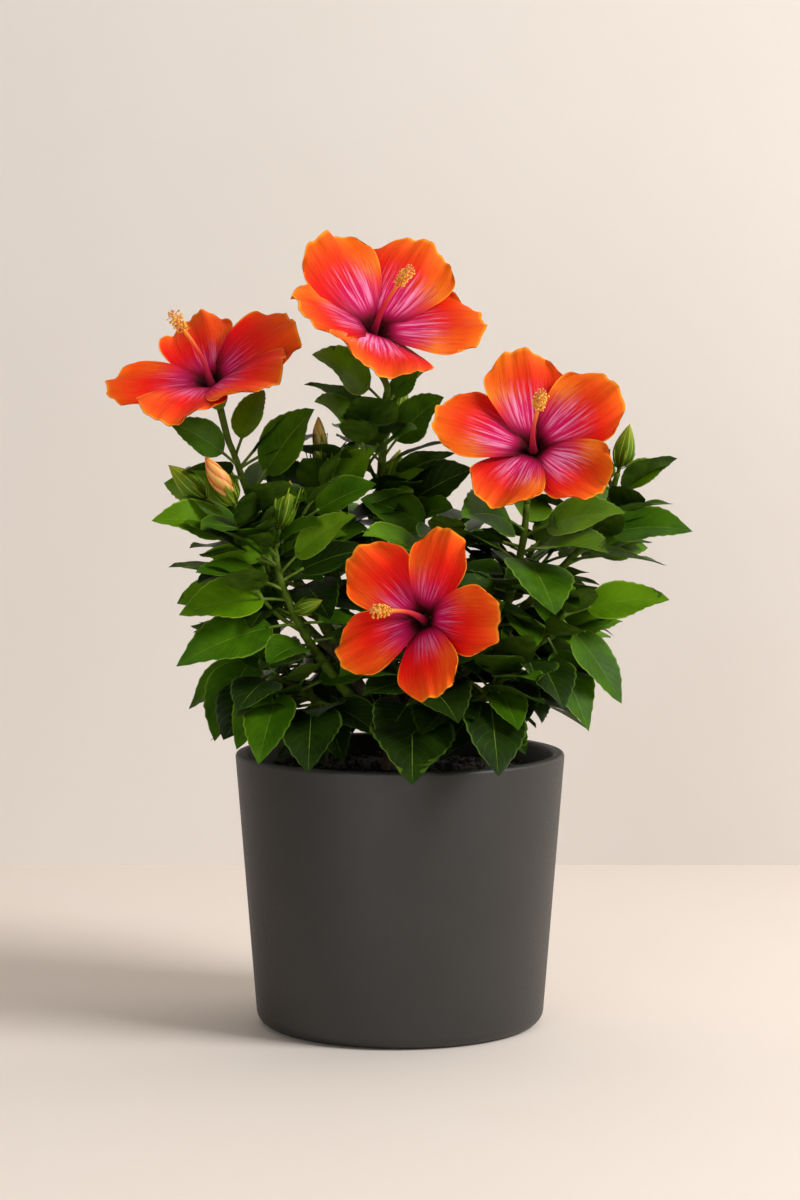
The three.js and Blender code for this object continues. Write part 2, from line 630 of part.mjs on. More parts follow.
function fuse(mass, made) {
  if (!isClear(mass.name, made)) return;
  mass.parts.push(made);
  claim(mass.name, made);
}

for (const mass of masses) {
  for (const [t, ...tip] of mass.shoot.buds) fuse(mass, bud(mass.stem.getPointAt(t), vec(tip)));
  for (const spec of mass.leaves.filter((l) => l.shown)) fuse(mass, leaf(spec));
}
for (const mass of masses) {
  for (const twig of mass.twigs) fuse(mass, limb(twig, taper(1.8, 1.2), { sides: 3, steps: 3 }));
  for (const spec of mass.leaves.filter((l) => !l.shown)) fuse(mass, leaf(spec));
  place(mass.name, largestBody(wasm.Manifold.union(mass.parts)), "leaf");
}

export default plant;
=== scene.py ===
# %% [markdown]
# # A potted hibiscus shrub in bloom
# A young hibiscus stands in a matte anthracite pot and carries four open blooms in orange, red
# and magenta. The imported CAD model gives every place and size. This scene loads it as a fixed
# frame and dresses it piece by piece: pot, soil, wood, green stems, leaves, blooms and buds.
# The leaves and blooms follow the same shoots as the CAD solids, so the tables below repeat them.

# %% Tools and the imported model
import bisect
import contextlib
from math import cos, exp, floor, hypot, pi, radians, sin, sqrt
from types import SimpleNamespace as Values

import bpy
import numpy as np
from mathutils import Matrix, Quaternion, Vector, kdtree, noise


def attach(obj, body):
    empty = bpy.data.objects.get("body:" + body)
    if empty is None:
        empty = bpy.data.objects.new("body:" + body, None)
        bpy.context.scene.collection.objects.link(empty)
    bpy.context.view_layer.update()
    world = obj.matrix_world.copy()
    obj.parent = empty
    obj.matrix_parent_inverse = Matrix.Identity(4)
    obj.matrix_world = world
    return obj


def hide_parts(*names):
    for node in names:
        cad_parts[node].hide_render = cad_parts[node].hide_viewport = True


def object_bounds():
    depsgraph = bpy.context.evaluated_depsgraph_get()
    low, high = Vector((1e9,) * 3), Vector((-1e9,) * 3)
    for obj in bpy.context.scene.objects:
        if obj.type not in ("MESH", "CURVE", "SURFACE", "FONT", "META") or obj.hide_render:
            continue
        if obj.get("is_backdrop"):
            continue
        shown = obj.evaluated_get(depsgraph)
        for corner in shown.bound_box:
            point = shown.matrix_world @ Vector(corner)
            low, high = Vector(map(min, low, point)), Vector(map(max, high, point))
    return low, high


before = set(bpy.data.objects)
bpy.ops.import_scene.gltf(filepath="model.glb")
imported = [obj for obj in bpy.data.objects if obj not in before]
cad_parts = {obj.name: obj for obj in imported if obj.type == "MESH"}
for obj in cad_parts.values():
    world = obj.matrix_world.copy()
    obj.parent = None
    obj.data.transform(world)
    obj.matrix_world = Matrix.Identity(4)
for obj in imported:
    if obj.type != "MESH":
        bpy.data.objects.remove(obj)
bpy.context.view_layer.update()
MM = 0.001  # the tables are in millimetres, Blender's meshes in metres
print("nodes in the frame:", len(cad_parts))

# %% [markdown]
# ## Camera, floor and light
# The photograph is a studio shot: a long lens at the height of the blooms, a pale warm floor that
# meets a pale wall, and one large soft light from the upper right, so the shadow lies soft and
# long to the left. The wall is made see-through from behind, so that other views aren't blocked.

# %% Camera
CAMERA = Values(place=(0.0, -2.05, 0.45), pitch=85.7, sensor=36, lens=88.59)
bpy.ops.object.camera_add(location=CAMERA.place, rotation=(radians(CAMERA.pitch), 0, 0))
camera = bpy.context.object
camera.data.sensor_fit = "VERTICAL"
camera.data.sensor_height = CAMERA.sensor
camera.data.lens = CAMERA.lens
bpy.context.scene.camera = camera
bpy.context.scene.view_settings.view_transform = "Standard"
print("camera lens:", camera.data.lens)


# %% A helper that builds materials node by node
class Finish:
    """A material around one Principled shader, with short calls for the usual nodes."""

    def __init__(self, name, roughness, **sockets):
        self.material = bpy.data.materials.new(name)
        self.material.use_nodes = True
        self.tree = self.material.node_tree
        self.shader = self.tree.nodes["Principled BSDF"]
        self.shader.inputs["Roughness"].default_value = roughness
        for socket, value in sockets.items():
            self.shader.inputs[socket.replace("_", " ")].default_value = value

    def node(self, kind, inputs=(), **settings):
        made = self.tree.nodes.new("ShaderNode" + kind)
        for key, value in settings.items():
            setattr(made, key, value)
        for key, value in dict(inputs).items():
            self.feed(made.inputs[key], value)
        return made

    def feed(self, socket, value):
        if isinstance(value, bpy.types.NodeSocket):
            self.tree.links.new(value, socket)
        else:
            socket.default_value = value

    def math(self, operation, a, b=0.0, c=0.0):
        return self.node("Math", {0: a, 1: b, 2: c}, operation=operation).outputs[0]

    def times(self, a, b):
        return self.math("MULTIPLY", a, b)

    def to_ends(self, value):
        """0 half-way between 0 and 1, rising evenly to 1 at both ends."""
        return self.math("ABSOLUTE", self.math("MULTIPLY_ADD", value, 2.0, -1.0))

    def smooth(self, value, low, high, start=0.0, end=1.0):
        inputs = {"Value": value, "From Min": low, "From Max": high, "To Min": start, "To Max": end}
        return self.node("MapRange", inputs, interpolation_type="SMOOTHSTEP").outputs[0]

    def mix(self, factor, a, b):
        """Mixes two tones, and each of them is a socket or a screen colour such as 0xE8501C."""
        a, b = (rgb(tone) if isinstance(tone, int) else tone for tone in (a, b))
        return self.node("Mix", {0: factor, 6: a, 7: b}, data_type="RGBA").outputs[2]

    def mottle(self, pattern, a, b, share=1.0):
        """Lays the second tone over the first in the soft patches of a pattern."""
        return self.mix(self.smooth(pattern, 0.3, 0.7, 0.0, share), a, b)

    def ramp(self, value, stops):
        made = self.node("ValToRGB", {0: value})
        elements = made.color_ramp.elements
        while len(elements) > 1:
            elements.remove(elements[0])
        first, *others = stops
        elements[0].position, elements[0].color = first[0], rgb(first[1])
        for place, colour in others:
            elements.new(place).color = rgb(colour)
        return made.outputs[0]

    def noise(self, scale, detail=3.0, rough=0.5, vector=None):
        vector = self.place() if vector is None else vector
        inputs = {"Vector": vector, "Scale": scale, "Detail": detail, "Roughness": rough}
        return self.node("TexNoise", inputs).outputs[0]

    def place(self, source="Object"):
        return self.node("TexCoord").outputs[source]

    def uv(self):
        made = self.node("SeparateXYZ", {0: self.place("UV")})
        return made.outputs[0], made.outputs[1]

    def vector(self, x, y, z):
        return self.node("CombineXYZ", {0: x, 1: y, 2: z}).outputs[0]

    def stretched(self, x, y, z):
        inputs = {"Vector": self.place(), "Scale": (x, y, z)}
        return self.node("Mapping", inputs).outputs[0]

    def colour(self, value):
        self.feed(self.shader.inputs["Base Color"], value)

    def roughness(self, value):
        self.feed(self.shader.inputs["Roughness"], value)

    def bump(self, height, strength, distance):
        inputs = {"Height": height, "Strength": strength, "Distance": distance}
        self.feed(self.shader.inputs["Normal"], self.node("Bump", inputs).outputs[0])


def rgb(hex_code):
    """A screen colour such as 0xE8501C as the linear colour that Blender works in."""
    parts = [(hex_code >> shift & 255) / 255 for shift in (16, 8, 0)]
    return tuple(p / 12.92 if p <= 0.04045 else ((p + 0.055) / 1.055) ** 2.4 for p in parts) + (1.0,)


# %% Floor and wall
WALL_PLACE = 0.66
FLOOR_TONE = 0xF0E4D9
WALL_TONE = 0xEBE3DB


def stage_plane(name, size, location, rotation, tone):
    bpy.ops.mesh.primitive_plane_add(size=size, location=location, rotation=rotation)
    plane = bpy.context.object
    plane.name = name
    finish = Finish(name + "_paint", 0.7)
    finish.colour(finish.mottle(finish.noise(6.0, 4.0), tone, 0xFFFFFF, 0.04))
    plane.data.materials.append(finish.material)
    plane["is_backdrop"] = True
    return finish


stage_plane("floor", 12, (0, 0, 0), (0, 0, 0), FLOOR_TONE)
wall_finish = stage_plane("wall", 8, (0, WALL_PLACE, 4), (radians(90), 0, 0), WALL_TONE)
behind = wall_finish.node("NewGeometry").outputs["Backfacing"]
clear = wall_finish.node("BsdfTransparent").outputs[0]
blend = wall_finish.node("MixShader", {0: behind, 1: wall_finish.shader.outputs[0], 2: clear})
output = wall_finish.tree.nodes["Material Output"]
wall_finish.feed(output.inputs["Surface"], blend.outputs[0])
print("wall stands at y =", WALL_PLACE)

# %% Soft studio light
SKY_STRENGTH = 0.045
LIGHTS = {
    "key": Values(place=(2.81, -1.35, 2.37), aim=(0, 0, 0.25), size=(1.5, 1.5), power=132),
    "top": Values(place=(0.2, -0.3, 2.4), aim=(0.2, -0.3, 0), size=(2.4, 2.0), power=9),
    "front": Values(place=(-1.0, -2.4, 0.65), aim=(0, 0, 0.3), size=(1.4, 1.4), power=17.5),
}
world = bpy.data.worlds.new("studio")
bpy.context.scene.world = world
world.use_nodes = True
world.node_tree.nodes["Background"].inputs[0].default_value = (1, 1, 1, 1)
world.node_tree.nodes["Background"].inputs[1].default_value = SKY_STRENGTH
for name, light in LIGHTS.items():
    bpy.ops.object.light_add(type="AREA", location=light.place)
    lamp = bpy.context.object
    lamp.name = name + "_light"
    lamp.data.shape = "RECTANGLE"
    lamp.data.size, lamp.data.size_y = light.size
    lamp.data.energy = light.power
    lamp.visible_camera = False
    lamp.rotation_euler = (Vector(light.aim) - lamp.location).to_track_quat("-Z", "Y").to_euler()
print("lights:", ", ".join(LIGHTS))

# %% [markdown]
# ## The shoots and blooms
# Every shoot is one smooth line. Its bare lower stretch is a bough, and its leafy upper stretch is
# the stem of a mass of foliage. The numbers are those of the CAD source: path in millimetres, the
# bare share, the radii, how many leaves and twigs the rule grows, and the leaves and buds that the
# front view shows one by one, each with its place on the shoot and its tip.

# %% Shoots
USUAL_SHOOT = dict(on=None, bare=0.34, radius=(3.8, 2), twigs=2, droop=0, bloom=None, shown=(), buds=())
SHOOTS = {
    "centre": dict(
        path=[(-2, 4, 200), (-10, 14, 280), (-15, 10, 351), (-11, 6, 410), (-10, 4, 436)],
        bare=0.33, radius=(4.8, 2.3), leaves=9, phase=20, bloom="top",
        shown=[
            (0.98, -60, -30, 466), (0.84, -58, -45, 434), (0.8, -25, -52, 438), (0.82, 30, -20, 437),
            (0.97, 13, 12, 456), (0.62, 50, -20, 388), (0.56, 36, -42, 362),
        ],
        buds=[(0.86, 3, 24, 449), (0.64, 0, 22, 400)],
    ),
    "upper_left": dict(
        path=[(-6, 0, 200), (-36, -8, 250), (-70, -22, 310), (-100, -24, 362), (-115, -18, 400)],
        bare=0.36, radius=(4.4, 2.2), leaves=10, twigs=1, phase=200, bloom="upper_left",
        shown=[(0.95, -158, -34, 420), (0.98, -94, -4, 442), (0.85, -58, -45, 429), (0.8, -165, 12, 377)],
    ),
    "upper_right": dict(
        path=[(5, -3, 200), (38, -10, 245), (72, -18, 292), (84, -22, 335), (87, -24, 364)],
        bare=0.36, radius=(4.4, 2.2), leaves=10, twigs=1, phase=60, bloom="upper_right",
        shown=[
            (0.9, 41, -96, 358), (0.88, 152, -60, 359), (0.82, 139, -90, 334), (0.8, 102, -118, 295),
            (0.7, 120, -78, 296),
        ],
    ),
    "front": dict(
        path=[(-2, -8, 200), (6, -36, 222), (16, -62, 246), (24, -78, 267)],
        bare=0.35, radius=(3.8, 2.2), leaves=5, twigs=0, phase=300, bloom="front",
        shown=[(0.45, 8, -150, 187), (0.62, 38, -140, 226), (0.9, 71, -74, 300), (0.92, -20, -96, 316)],
    ),
    "left_front": dict(
        path=[(-6, -6, 198), (-36, -46, 236), (-62, -68, 274), (-79, -76, 312), (-84, -72, 336)],
        bare=0.36, radius=(4.4, 2), leaves=7, twigs=1, phase=100,
        shown=[
            (0.97, -99, -112, 347), (0.9, -29, -112, 360), (0.93, -134, -62, 331), (0.86, -151, -60, 298),
            (0.8, -147, -95, 293), (0.7, -148, -108, 260), (0.6, -88, -112, 262),
        ],
        buds=[(1, -74, -60, 381), (0.75, -52, -84, 302)],
    ),
    "right_bud": dict(
        path=[(6, 4, 198), (52, 8, 252), (102, 10, 306), (138, 10, 346), (152, 10, 384)],
        bare=0.36, radius=(4.2, 1.9), leaves=12, phase=50,
        shown=[
            (0.93, 188, 8, 390), (0.95, 139, 26, 397), (0.78, 203, -4, 344), (0.72, 176, 40, 330),
            (0.86, 118, 40, 372),
        ],
        buds=[(1, 160, 10, 418)],
    ),
    "back": dict(
        path=[(0, 8, 200), (6, 42, 244), (8, 72, 290), (6, 88, 334)],
        bare=0.38, radius=(4.4, 2), leaves=11, phase=300,
    ),
    "left_buds": dict(
        on=("upper_left", 0.26), path=[(-74, -26, 290), (-94, -42, 322), (-103, -54, 350)],
        bare=0.3, radius=(3.4, 2), leaves=7, twigs=1, phase=165,
        shown=[(0.92, -166, -80, 355), (0.95, -132, -98, 350)],
        buds=[(1, -129, -62, 394), (0.9, -157, -45, 391)],
    ),
    "centre_left": dict(
        on=("centre", 0.12), path=[(-32, 12, 270), (-47, -4, 326), (-54, -18, 384)],
        bare=0.32, leaves=11, phase=130,
        shown=[(0.88, -66, -44, 396), (0.86, -17, -32, 401), (0.8, -96, 6, 392), (0.92, -30, 22, 406)],
        buds=[(1, -56, -20, 422)],
    ),
    "middle": dict(
        on=("centre", 0.16), path=[(12, -4, 268), (24, -24, 316), (30, -34, 346)],
        bare=0.3, leaves=11, phase=40,
        shown=[(0.95, -27, -44, 368), (0.95, 14, -78, 340)],
    ),
    "right_low": dict(
        on=("right_bud", 0.1), path=[(56, -16, 232), (88, -34, 262), (113, -42, 290)],
        leaves=6, twigs=1, phase=330,
        shown=[
            (0.98, 183, -52, 300), (0.96, 151, -52, 229), (0.84, 128, -60, 211), (0.72, 109, -94, 230),
            (0.66, 90, -112, 250),
        ],
    ),
    "front_right": dict(
        on=("upper_right", 0.1), path=[(36, -34, 222), (56, -58, 236), (68, -70, 246)],
        bare=0.35, radius=(3.4, 2), leaves=4, twigs=0, phase=250,
        shown=[(0.98, 88, -130, 253), (0.9, 78, -120, 219), (0.85, 64, -146, 192), (0.7, 84, -92, 199)],
    ),
    "left_low": dict(
        on=("left_front", 0.1), path=[(-34, -32, 214), (-62, -52, 234), (-86, -70, 250)],
        bare=0.3, radius=(3.6, 2), leaves=4, twigs=0, phase=90,
        shown=[
            (1, -109, -95, 203), (0.9, -93, -124, 197), (0.96, -106, -130, 233), (0.62, -60, -134, 193),
            (0.55, -38, -90, 194), (0.8, -82, -44, 196),
        ],
    ),
    "back_left": dict(
        on=("back", 0.2), path=[(-30, 42, 250), (-66, 60, 292), (-88, 66, 334)],
        bare=0.36, leaves=11, twigs=3, phase=75,
    ),
    "back_right": dict(
        on=("back", 0.24), path=[(44, 48, 252), (78, 62, 290), (96, 68, 330)],
        leaves=11, twigs=3, phase=15,
    ),
    "low_left": dict(
        on=("upper_left", 0.08), path=[(-46, 16, 224), (-80, 24, 242), (-104, 26, 264)],
        radius=(3.4, 1.9), leaves=12, phase=140, droop=22,
        shown=[(0.95, -128, -26, 200), (0.7, -120, -58, 205), (0.9, -150, 30, 216)],
    ),
    "low_right": dict(
        on=("right_bud", 0.06), path=[(48, 22, 220), (84, 30, 238), (108, 30, 258)],
        radius=(3.4, 1.9), leaves=12, phase=320, droop=22,
    ),
    "low_back": dict(
        on=("back", 0.08), path=[(-8, 48, 220), (-14, 80, 238), (-16, 102, 256)],
        radius=(3.4, 1.9), leaves=12, twigs=3, phase=200, droop=22,
    ),
}
SHOOTS = {name: Values(**USUAL_SHOOT | shoot) for name, shoot in SHOOTS.items()}
print("shoots:", len(SHOOTS))

# %% Blooms
BLOOMS = {
    "top": Values(
        throat=(-19, -5, 480), axis=(0.31, -0.64, 0.7), column=(0.38, -0.62, 0.66), reach=75,
        petals=(2, 67, 133, 200, 268), wide=(1.22, 1.12, 1.08, 1, 1.3),
        long=(1, 1.08, 1, 0.95, 0.98), wave=(1.9, 1.2, 1.5, 1.5, -1.6),
        tilt=(0.04, 0.04, 0.04, -0.06, 0.04), open=66, hand=-1,
    ),
    "upper_left": Values(
        throat=(-128, -25, 443), axis=(-0.28, -0.49, 0.83), column=(-0.38, -0.52, 0.76), reach=71,
        petals=(318, 20, 101, 180, 250), wide=(1.2, 1.15, 0.97, 0.8, 1.15),
        long=(0.98, 0.98, 1, 1, 0.93), wave=(-1.5, 1.5, 2.6, 1.5, -1.6),
        tilt=(0, -0.1, 0.02, 0.05, 0.05), open=74, hand=-1,
    ),
    "upper_right": Values(
        throat=(90, -50, 400), axis=(-0.03, -0.83, 0.56), column=(0.05, -0.78, 0.62), reach=70,
        petals=(33, 96, 165, 241, 317), wide=(1.02, 1.03, 1.05, 0.98, 0.95),
        long=(1, 1, 1, 0.87, 0.9), wave=(1.5, 1.5, 1.5, -1.5, -1.6),
        tilt=(0.06,) * 5, open=72, hand=1,
    ),
    "front": Values(
        throat=(17, -115, 291), axis=(-0.44, -0.86, 0.27), column=(-0.52, -0.84, 0.17), reach=61,
        petals=(350, 66, 132, 202, 282), wide=(0.98, 0.84, 1.02, 0.98, 1),
        long=(1.02, 1, 1.07, 1, 0.94), wave=(1.5, 1.5, 1.5, 1.5, 1.6),
        tilt=(0.06,) * 5, open=76, hand=1,
    ),
}
print("blooms:", ", ".join(BLOOMS))


# %% Smooth lines, measured along their length
class Line:
    """A smooth curve through points. at() and along() take a share of its length."""

    STEPS = 200
    NEAR = 1e-4

    def __init__(self, *points):
        self.points = [Vector(p) for p in points]
        marks = [self.raw(i / self.STEPS) for i in range(self.STEPS + 1)]
        self.marks = [0.0]
        for a, b in zip(marks, marks[1:]):
            self.marks.append(self.marks[-1] + (b - a).length)
        self.length = self.marks[-1]

    def raw(self, t):
        p = self.points
        i = min(int(t * (len(p) - 1)), len(p) - 2)
        w = t * (len(p) - 1) - i
        a, b = p[i], p[i + 1]
        before = p[i - 1] if i > 0 else a * 2 - b
        after = p[i + 2] if i + 2 < len(p) else b * 2 - a
        leave, arrive = (b - before) * 0.5, (after - a) * 0.5
        square, cube = b * 3 - a * 3 - leave * 2 - arrive, a * 2 - b * 2 + leave + arrive
        return a + leave * w + square * w**2 + cube * w**3

    def share(self, u):
        target = u * self.length
        i = min(max(bisect.bisect_right(self.marks, target) - 1, 0), self.STEPS - 1)
        step = self.marks[i + 1] - self.marks[i]
        return (i + (target - self.marks[i]) / step) / self.STEPS

    def at(self, u):
        return self.raw(self.share(u))

    def along(self, u):
        t = self.share(u)
        return (self.raw(min(t + self.NEAR, 1)) - self.raw(max(t - self.NEAR, 0))).normalized()


STEMS = {}
for name, shoot in SHOOTS.items():
    start = [STEMS[shoot.on[0]].at(shoot.on[1])] if shoot.on else []
    STEMS[name] = Line(*start, *shoot.path)
print("longest shoot:", round(max(s.length for s in STEMS.values())), "mm")


# %% Small helpers for numbers and directions
UP = Vector((0, 0, 1))


def lerp(a, b, t):
    return a + (b - a) * t


def ease(value, low, high):
    t = min(max((value - low) / (high - low), 0), 1)
    return t * t * (3 - 2 * t)


def chance(a, b):
    """A repeatable number from 0 to 1 for a pair of counts."""
    s = sin(a * 127.1 + b * 311.7 + 74.7) * 43758.5453
    return s - floor(s)


def vary(low, high, a, b):
    """A repeatable number between two limits for a pair of counts."""
    return lerp(low, high, chance(a, b))


def heading(bearing, rise):
    """The direction with that bearing and rise above the level, in degrees."""
    b, r = radians(bearing), radians(rise)
    return Vector((cos(r) * cos(b), cos(r) * sin(b), sin(r)))


def square_to(v, along):
    return (v - along * v.dot(along)).normalized()


# %% Meshes from many small shapes
class Batch:
    """Gathers small shapes in millimetres and makes one joined mesh of them."""

    def __init__(self):
        self.verts, self.faces, self.slots, self.uvs = [], [], [], []

    def add(self, verts, faces, uvs=None, slots=0):
        base = len(self.verts)
        self.verts += [tuple(v) for v in verts]
        self.faces += [tuple(i + base for i in face) for face in faces]
        self.slots += list(slots) if hasattr(slots, "__len__") else [slots] * len(faces)
        self.uvs += list(uvs) if uvs is not None else [(0.0, 0.0)] * len(verts)

    def build(self, name, finishes):
        mesh = bpy.data.meshes.new(name)
        mesh.from_pydata([tuple(c * MM for c in v) for v in self.verts], [], self.faces)
        mesh.polygons.foreach_set("material_index", self.slots)
        mesh.polygons.foreach_set("use_smooth", [True] * len(self.faces))
        layer = mesh.uv_layers.new(name="UVMap")
        corners = np.empty(len(mesh.loops), dtype=np.int32)
        mesh.loops.foreach_get("vertex_index", corners)
        layer.data.foreach_set("uv", np.asarray(self.uvs, dtype=np.float32)[corners].ravel())
        for finish in finishes:
            mesh.materials.append(finish.material)
        piece = bpy.data.objects.new(name, mesh)
        bpy.context.collection.objects.link(piece)
        mesh.validate()
        print(name, "has", len(self.faces), "faces")
        return piece


def sleeve(rows, sides):
    """The faces between rings of points that are numbered ring after ring."""
    faces = []
    for i in range(0, rows * sides, sides):
        for k in range(sides):
            n = (k + 1) % sides
            faces.append((i + k, i + n, i + sides + n, i + sides + k))
    return faces


def add_tube(batch, line, radius_at, sides, steps, start=0.0, end=1.0, slot=0):
    """Adds a round limb along a line, closed at both ends. Its rings don't twist."""
    verts, uvs, side = [], [], None
    for i in range(steps + 1):
        t = lerp(start, end, i / steps)
        point, along, r = line.at(t), line.along(t), radius_at(t)
        side = square_to(side or (UP if abs(along.z) < 0.9 else Vector((1, 0, 0))), along)
        other = along.cross(side)
        for k in range(sides):
            angle = 2 * pi * k / sides
            verts.append(point + side * (cos(angle) * r) + other * (sin(angle) * r))
            uvs.append((k / sides, i / steps))
    ends = [tuple(range(sides))[::-1], tuple(range(steps * sides, (steps + 1) * sides))]
    batch.add(verts, ends + sleeve(steps, sides), uvs, slot)


def select_only(piece):
    bpy.ops.object.select_all(action="DESELECT")
    piece.select_set(True)
    bpy.context.view_layer.objects.active = piece


def apply_modifier(piece, kind, **settings):
    select_only(piece)
    modifier = piece.modifiers.new(kind.lower(), kind)
    for key, value in settings.items():
        setattr(modifier, key, value)
    bpy.ops.object.modifier_apply(modifier=modifier.name)


def take_apart(piece):
    """The points and faces of a primitive, which is thrown away."""
    points = [vertex.co.copy() for vertex in piece.data.vertices]
    faces = [tuple(polygon.vertices) for polygon in piece.data.polygons]
    bpy.data.objects.remove(piece)
    return points, faces


def upright_cylinder(name, sides, radius, low, high):
    """A cylinder that stands between two heights, all in millimetres."""
    middle = (0, 0, (low + high) / 2 * MM)
    bpy.ops.mesh.primitive_cylinder_add(
        vertices=sides, radius=radius * MM, depth=(high - low) * MM, location=middle
    )
    piece = bpy.context.object
    piece.name = name
    bpy.ops.object.transform_apply(location=True, rotation=False, scale=False)
    return piece


def settle(piece, slot, *nodes):
    """Attaches a piece to the root body and hides the CAD nodes it stands for. The slot is not used."""
    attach(piece, "root")
    if nodes:
        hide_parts(*nodes)


# %% [markdown]
# ## The pot
# The pot is a plain tapering cylinder, cast in a fine matte stuff, with a soft round at foot and
# rim. It could be spun from a profile. Here a cylinder primitive is tapered, hollowed by inset and
# extrude, and its rim and foot are bevelled, which is how a modeller would do it by hand.

# %% Pot
POT = Values(rim=115, foot=100, height=190, wall=8, floor=12, foot_round=9, rim_round=2.85)
pot_body = upright_cylinder("pot_body", 160, POT.foot, 0, POT.height)


@contextlib.contextmanager
def picked(piece, test, kind="FACE"):
    """Edit mode, in which only the faces or edges that pass the test are selected."""
    select_only(piece)
    bpy.ops.object.mode_set(mode="EDIT")
    bpy.ops.mesh.select_mode(type=kind)
    bpy.ops.mesh.select_all(action="DESELECT")
    bpy.ops.object.mode_set(mode="OBJECT")
    mesh = piece.data
    for item in mesh.polygons if kind == "FACE" else mesh.edges:
        item.select = test(item, mesh)
    bpy.ops.object.mode_set(mode="EDIT")
    yield
    bpy.ops.object.mode_set(mode="OBJECT")


def facing(z):
    return lambda face, mesh: face.normal.z * z > 0.9


def round_edges(piece, height, width, steps):
    """Rounds the rings of edges at a height."""

    def at_height(edge, mesh):
        return all(abs(mesh.vertices[i].co.z / MM - height) < 0.05 for i in edge.vertices)

    with picked(piece, at_height, "EDGE"):
        bpy.ops.mesh.bevel(offset=width * MM, segments=steps)


flare = POT.rim / POT.foot
sink = (0, 0, (POT.floor - POT.height) * MM)
inner_foot = lerp(POT.foot, POT.rim, POT.floor / POT.height) - POT.wall
shrink = inner_foot / (POT.rim - POT.wall)
with picked(pot_body, facing(1)):
    bpy.ops.transform.resize(value=(flare, flare, 1))
    bpy.ops.mesh.inset(thickness=POT.wall * MM)
    bpy.ops.mesh.extrude_region_move(TRANSFORM_OT_translate={"value": sink})
    bpy.ops.transform.resize(value=(shrink, shrink, 1))
round_edges(pot_body, POT.height, POT.rim_round, 5)
round_edges(pot_body, 0, POT.foot_round, 6)
select_only(pot_body)
bpy.ops.object.shade_smooth_by_angle(angle=radians(40))
print("pot faces:", len(pot_body.data.polygons))

# %% [markdown]
# The finish is a dark warm grey with a very fine grain and soft cloudy patches. A large noise
# shifts the tone a little, and a fine one gives the cast grain its bump and uneven sheen.

# %% Pot finish
pot_finish = Finish("pot_cast", 0.5)
clouds = pot_finish.noise(9.0, 5.0, 0.6)
grain = pot_finish.noise(900.0, 2.0)
pot_tone = pot_finish.ramp(clouds, [(0.3, 0x292725), (0.7, 0x302E2C)])
speck = pot_finish.smooth(grain, 0.62, 0.75, 0.0, 0.25)
pot_finish.colour(pot_finish.mix(speck, pot_tone, 0x444240))
pot_finish.roughness(pot_finish.smooth(grain, 0.3, 0.7, 0.46, 0.58))
pot_finish.bump(grain, 0.12, 0.0004)
pot_body.data.materials.append(pot_finish.material)
settle(pot_body, "pot", "pot")

# %% [markdown]
# ## The soil
# Dark potting soil shows between the lowest leaves. A cylinder's top is inset again and again,
# which gives rings of points that a noise can heave up and down, and loose crumbs of bark lie on
# it. The crumbs are copies of one small rock, each with its own size, turn and tone.

# %% Soil bed
SOIL = Values(level=177, dome=3, radius=104.6, bottom=60, narrowing=0.93, rings=24, ring_width=4.1)
BROAD_LUMPS = Values(scale=0.09, height=1.6)
FINE_LUMPS = Values(scale=0.5, height=0.6)
LEVEL_EDGE = 0.93  # from this share of the radius outwards the lumps die away


def soil_height(out):
    """The height of the smooth dome at a share of its radius."""
    return SOIL.level - SOIL.dome * out**2


soil_bed = upright_cylinder("soil_bed", 96, SOIL.radius, SOIL.bottom, SOIL.level)
with picked(soil_bed, facing(-1)):
    bpy.ops.transform.resize(value=(SOIL.narrowing, SOIL.narrowing, 1))
with picked(soil_bed, facing(1)):
    for _ in range(SOIL.rings):
        bpy.ops.mesh.inset(thickness=SOIL.ring_width * MM)
for vertex in soil_bed.data.vertices:
    place = vertex.co / MM
    if place.z < SOIL.level - 1:
        continue
    out = hypot(place.x, place.y) / SOIL.radius
    lump = noise.fractal(place * BROAD_LUMPS.scale, 1.0, 2.0, 4) * BROAD_LUMPS.height
    lump += noise.noise(place * FINE_LUMPS.scale) * FINE_LUMPS.height
    vertex.co.z = (soil_height(out) + lump * ease(out, 1.0, LEVEL_EDGE)) * MM
select_only(soil_bed)
bpy.ops.object.shade_smooth()
print("soil faces:", len(soil_bed.data.polygons))

# %% Soil crumbs
soil_finish = Finish("soil_dark", 0.95)
clods = soil_finish.noise(260.0, 4.0, 0.7)
soil_finish.colour(soil_finish.ramp(clods, [(0.3, 0x0B0906), (0.55, 0x1C1610), (0.75, 0x33281C)]))
soil_finish.bump(clods, 0.9, 0.002)
crumb_finish = Finish("soil_bark", 0.9)
fibre = crumb_finish.noise(300.0, vector=crumb_finish.stretched(1, 1, 0.4))
crumb_finish.colour(crumb_finish.ramp(fibre, [(0.3, 0x18110B), (0.7, 0x4A3726)]))
crumb_finish.bump(fibre, 0.5, 0.001)
soil_bed.data.materials.append(soil_finish.material)
settle(soil_bed, "soil", "soil")

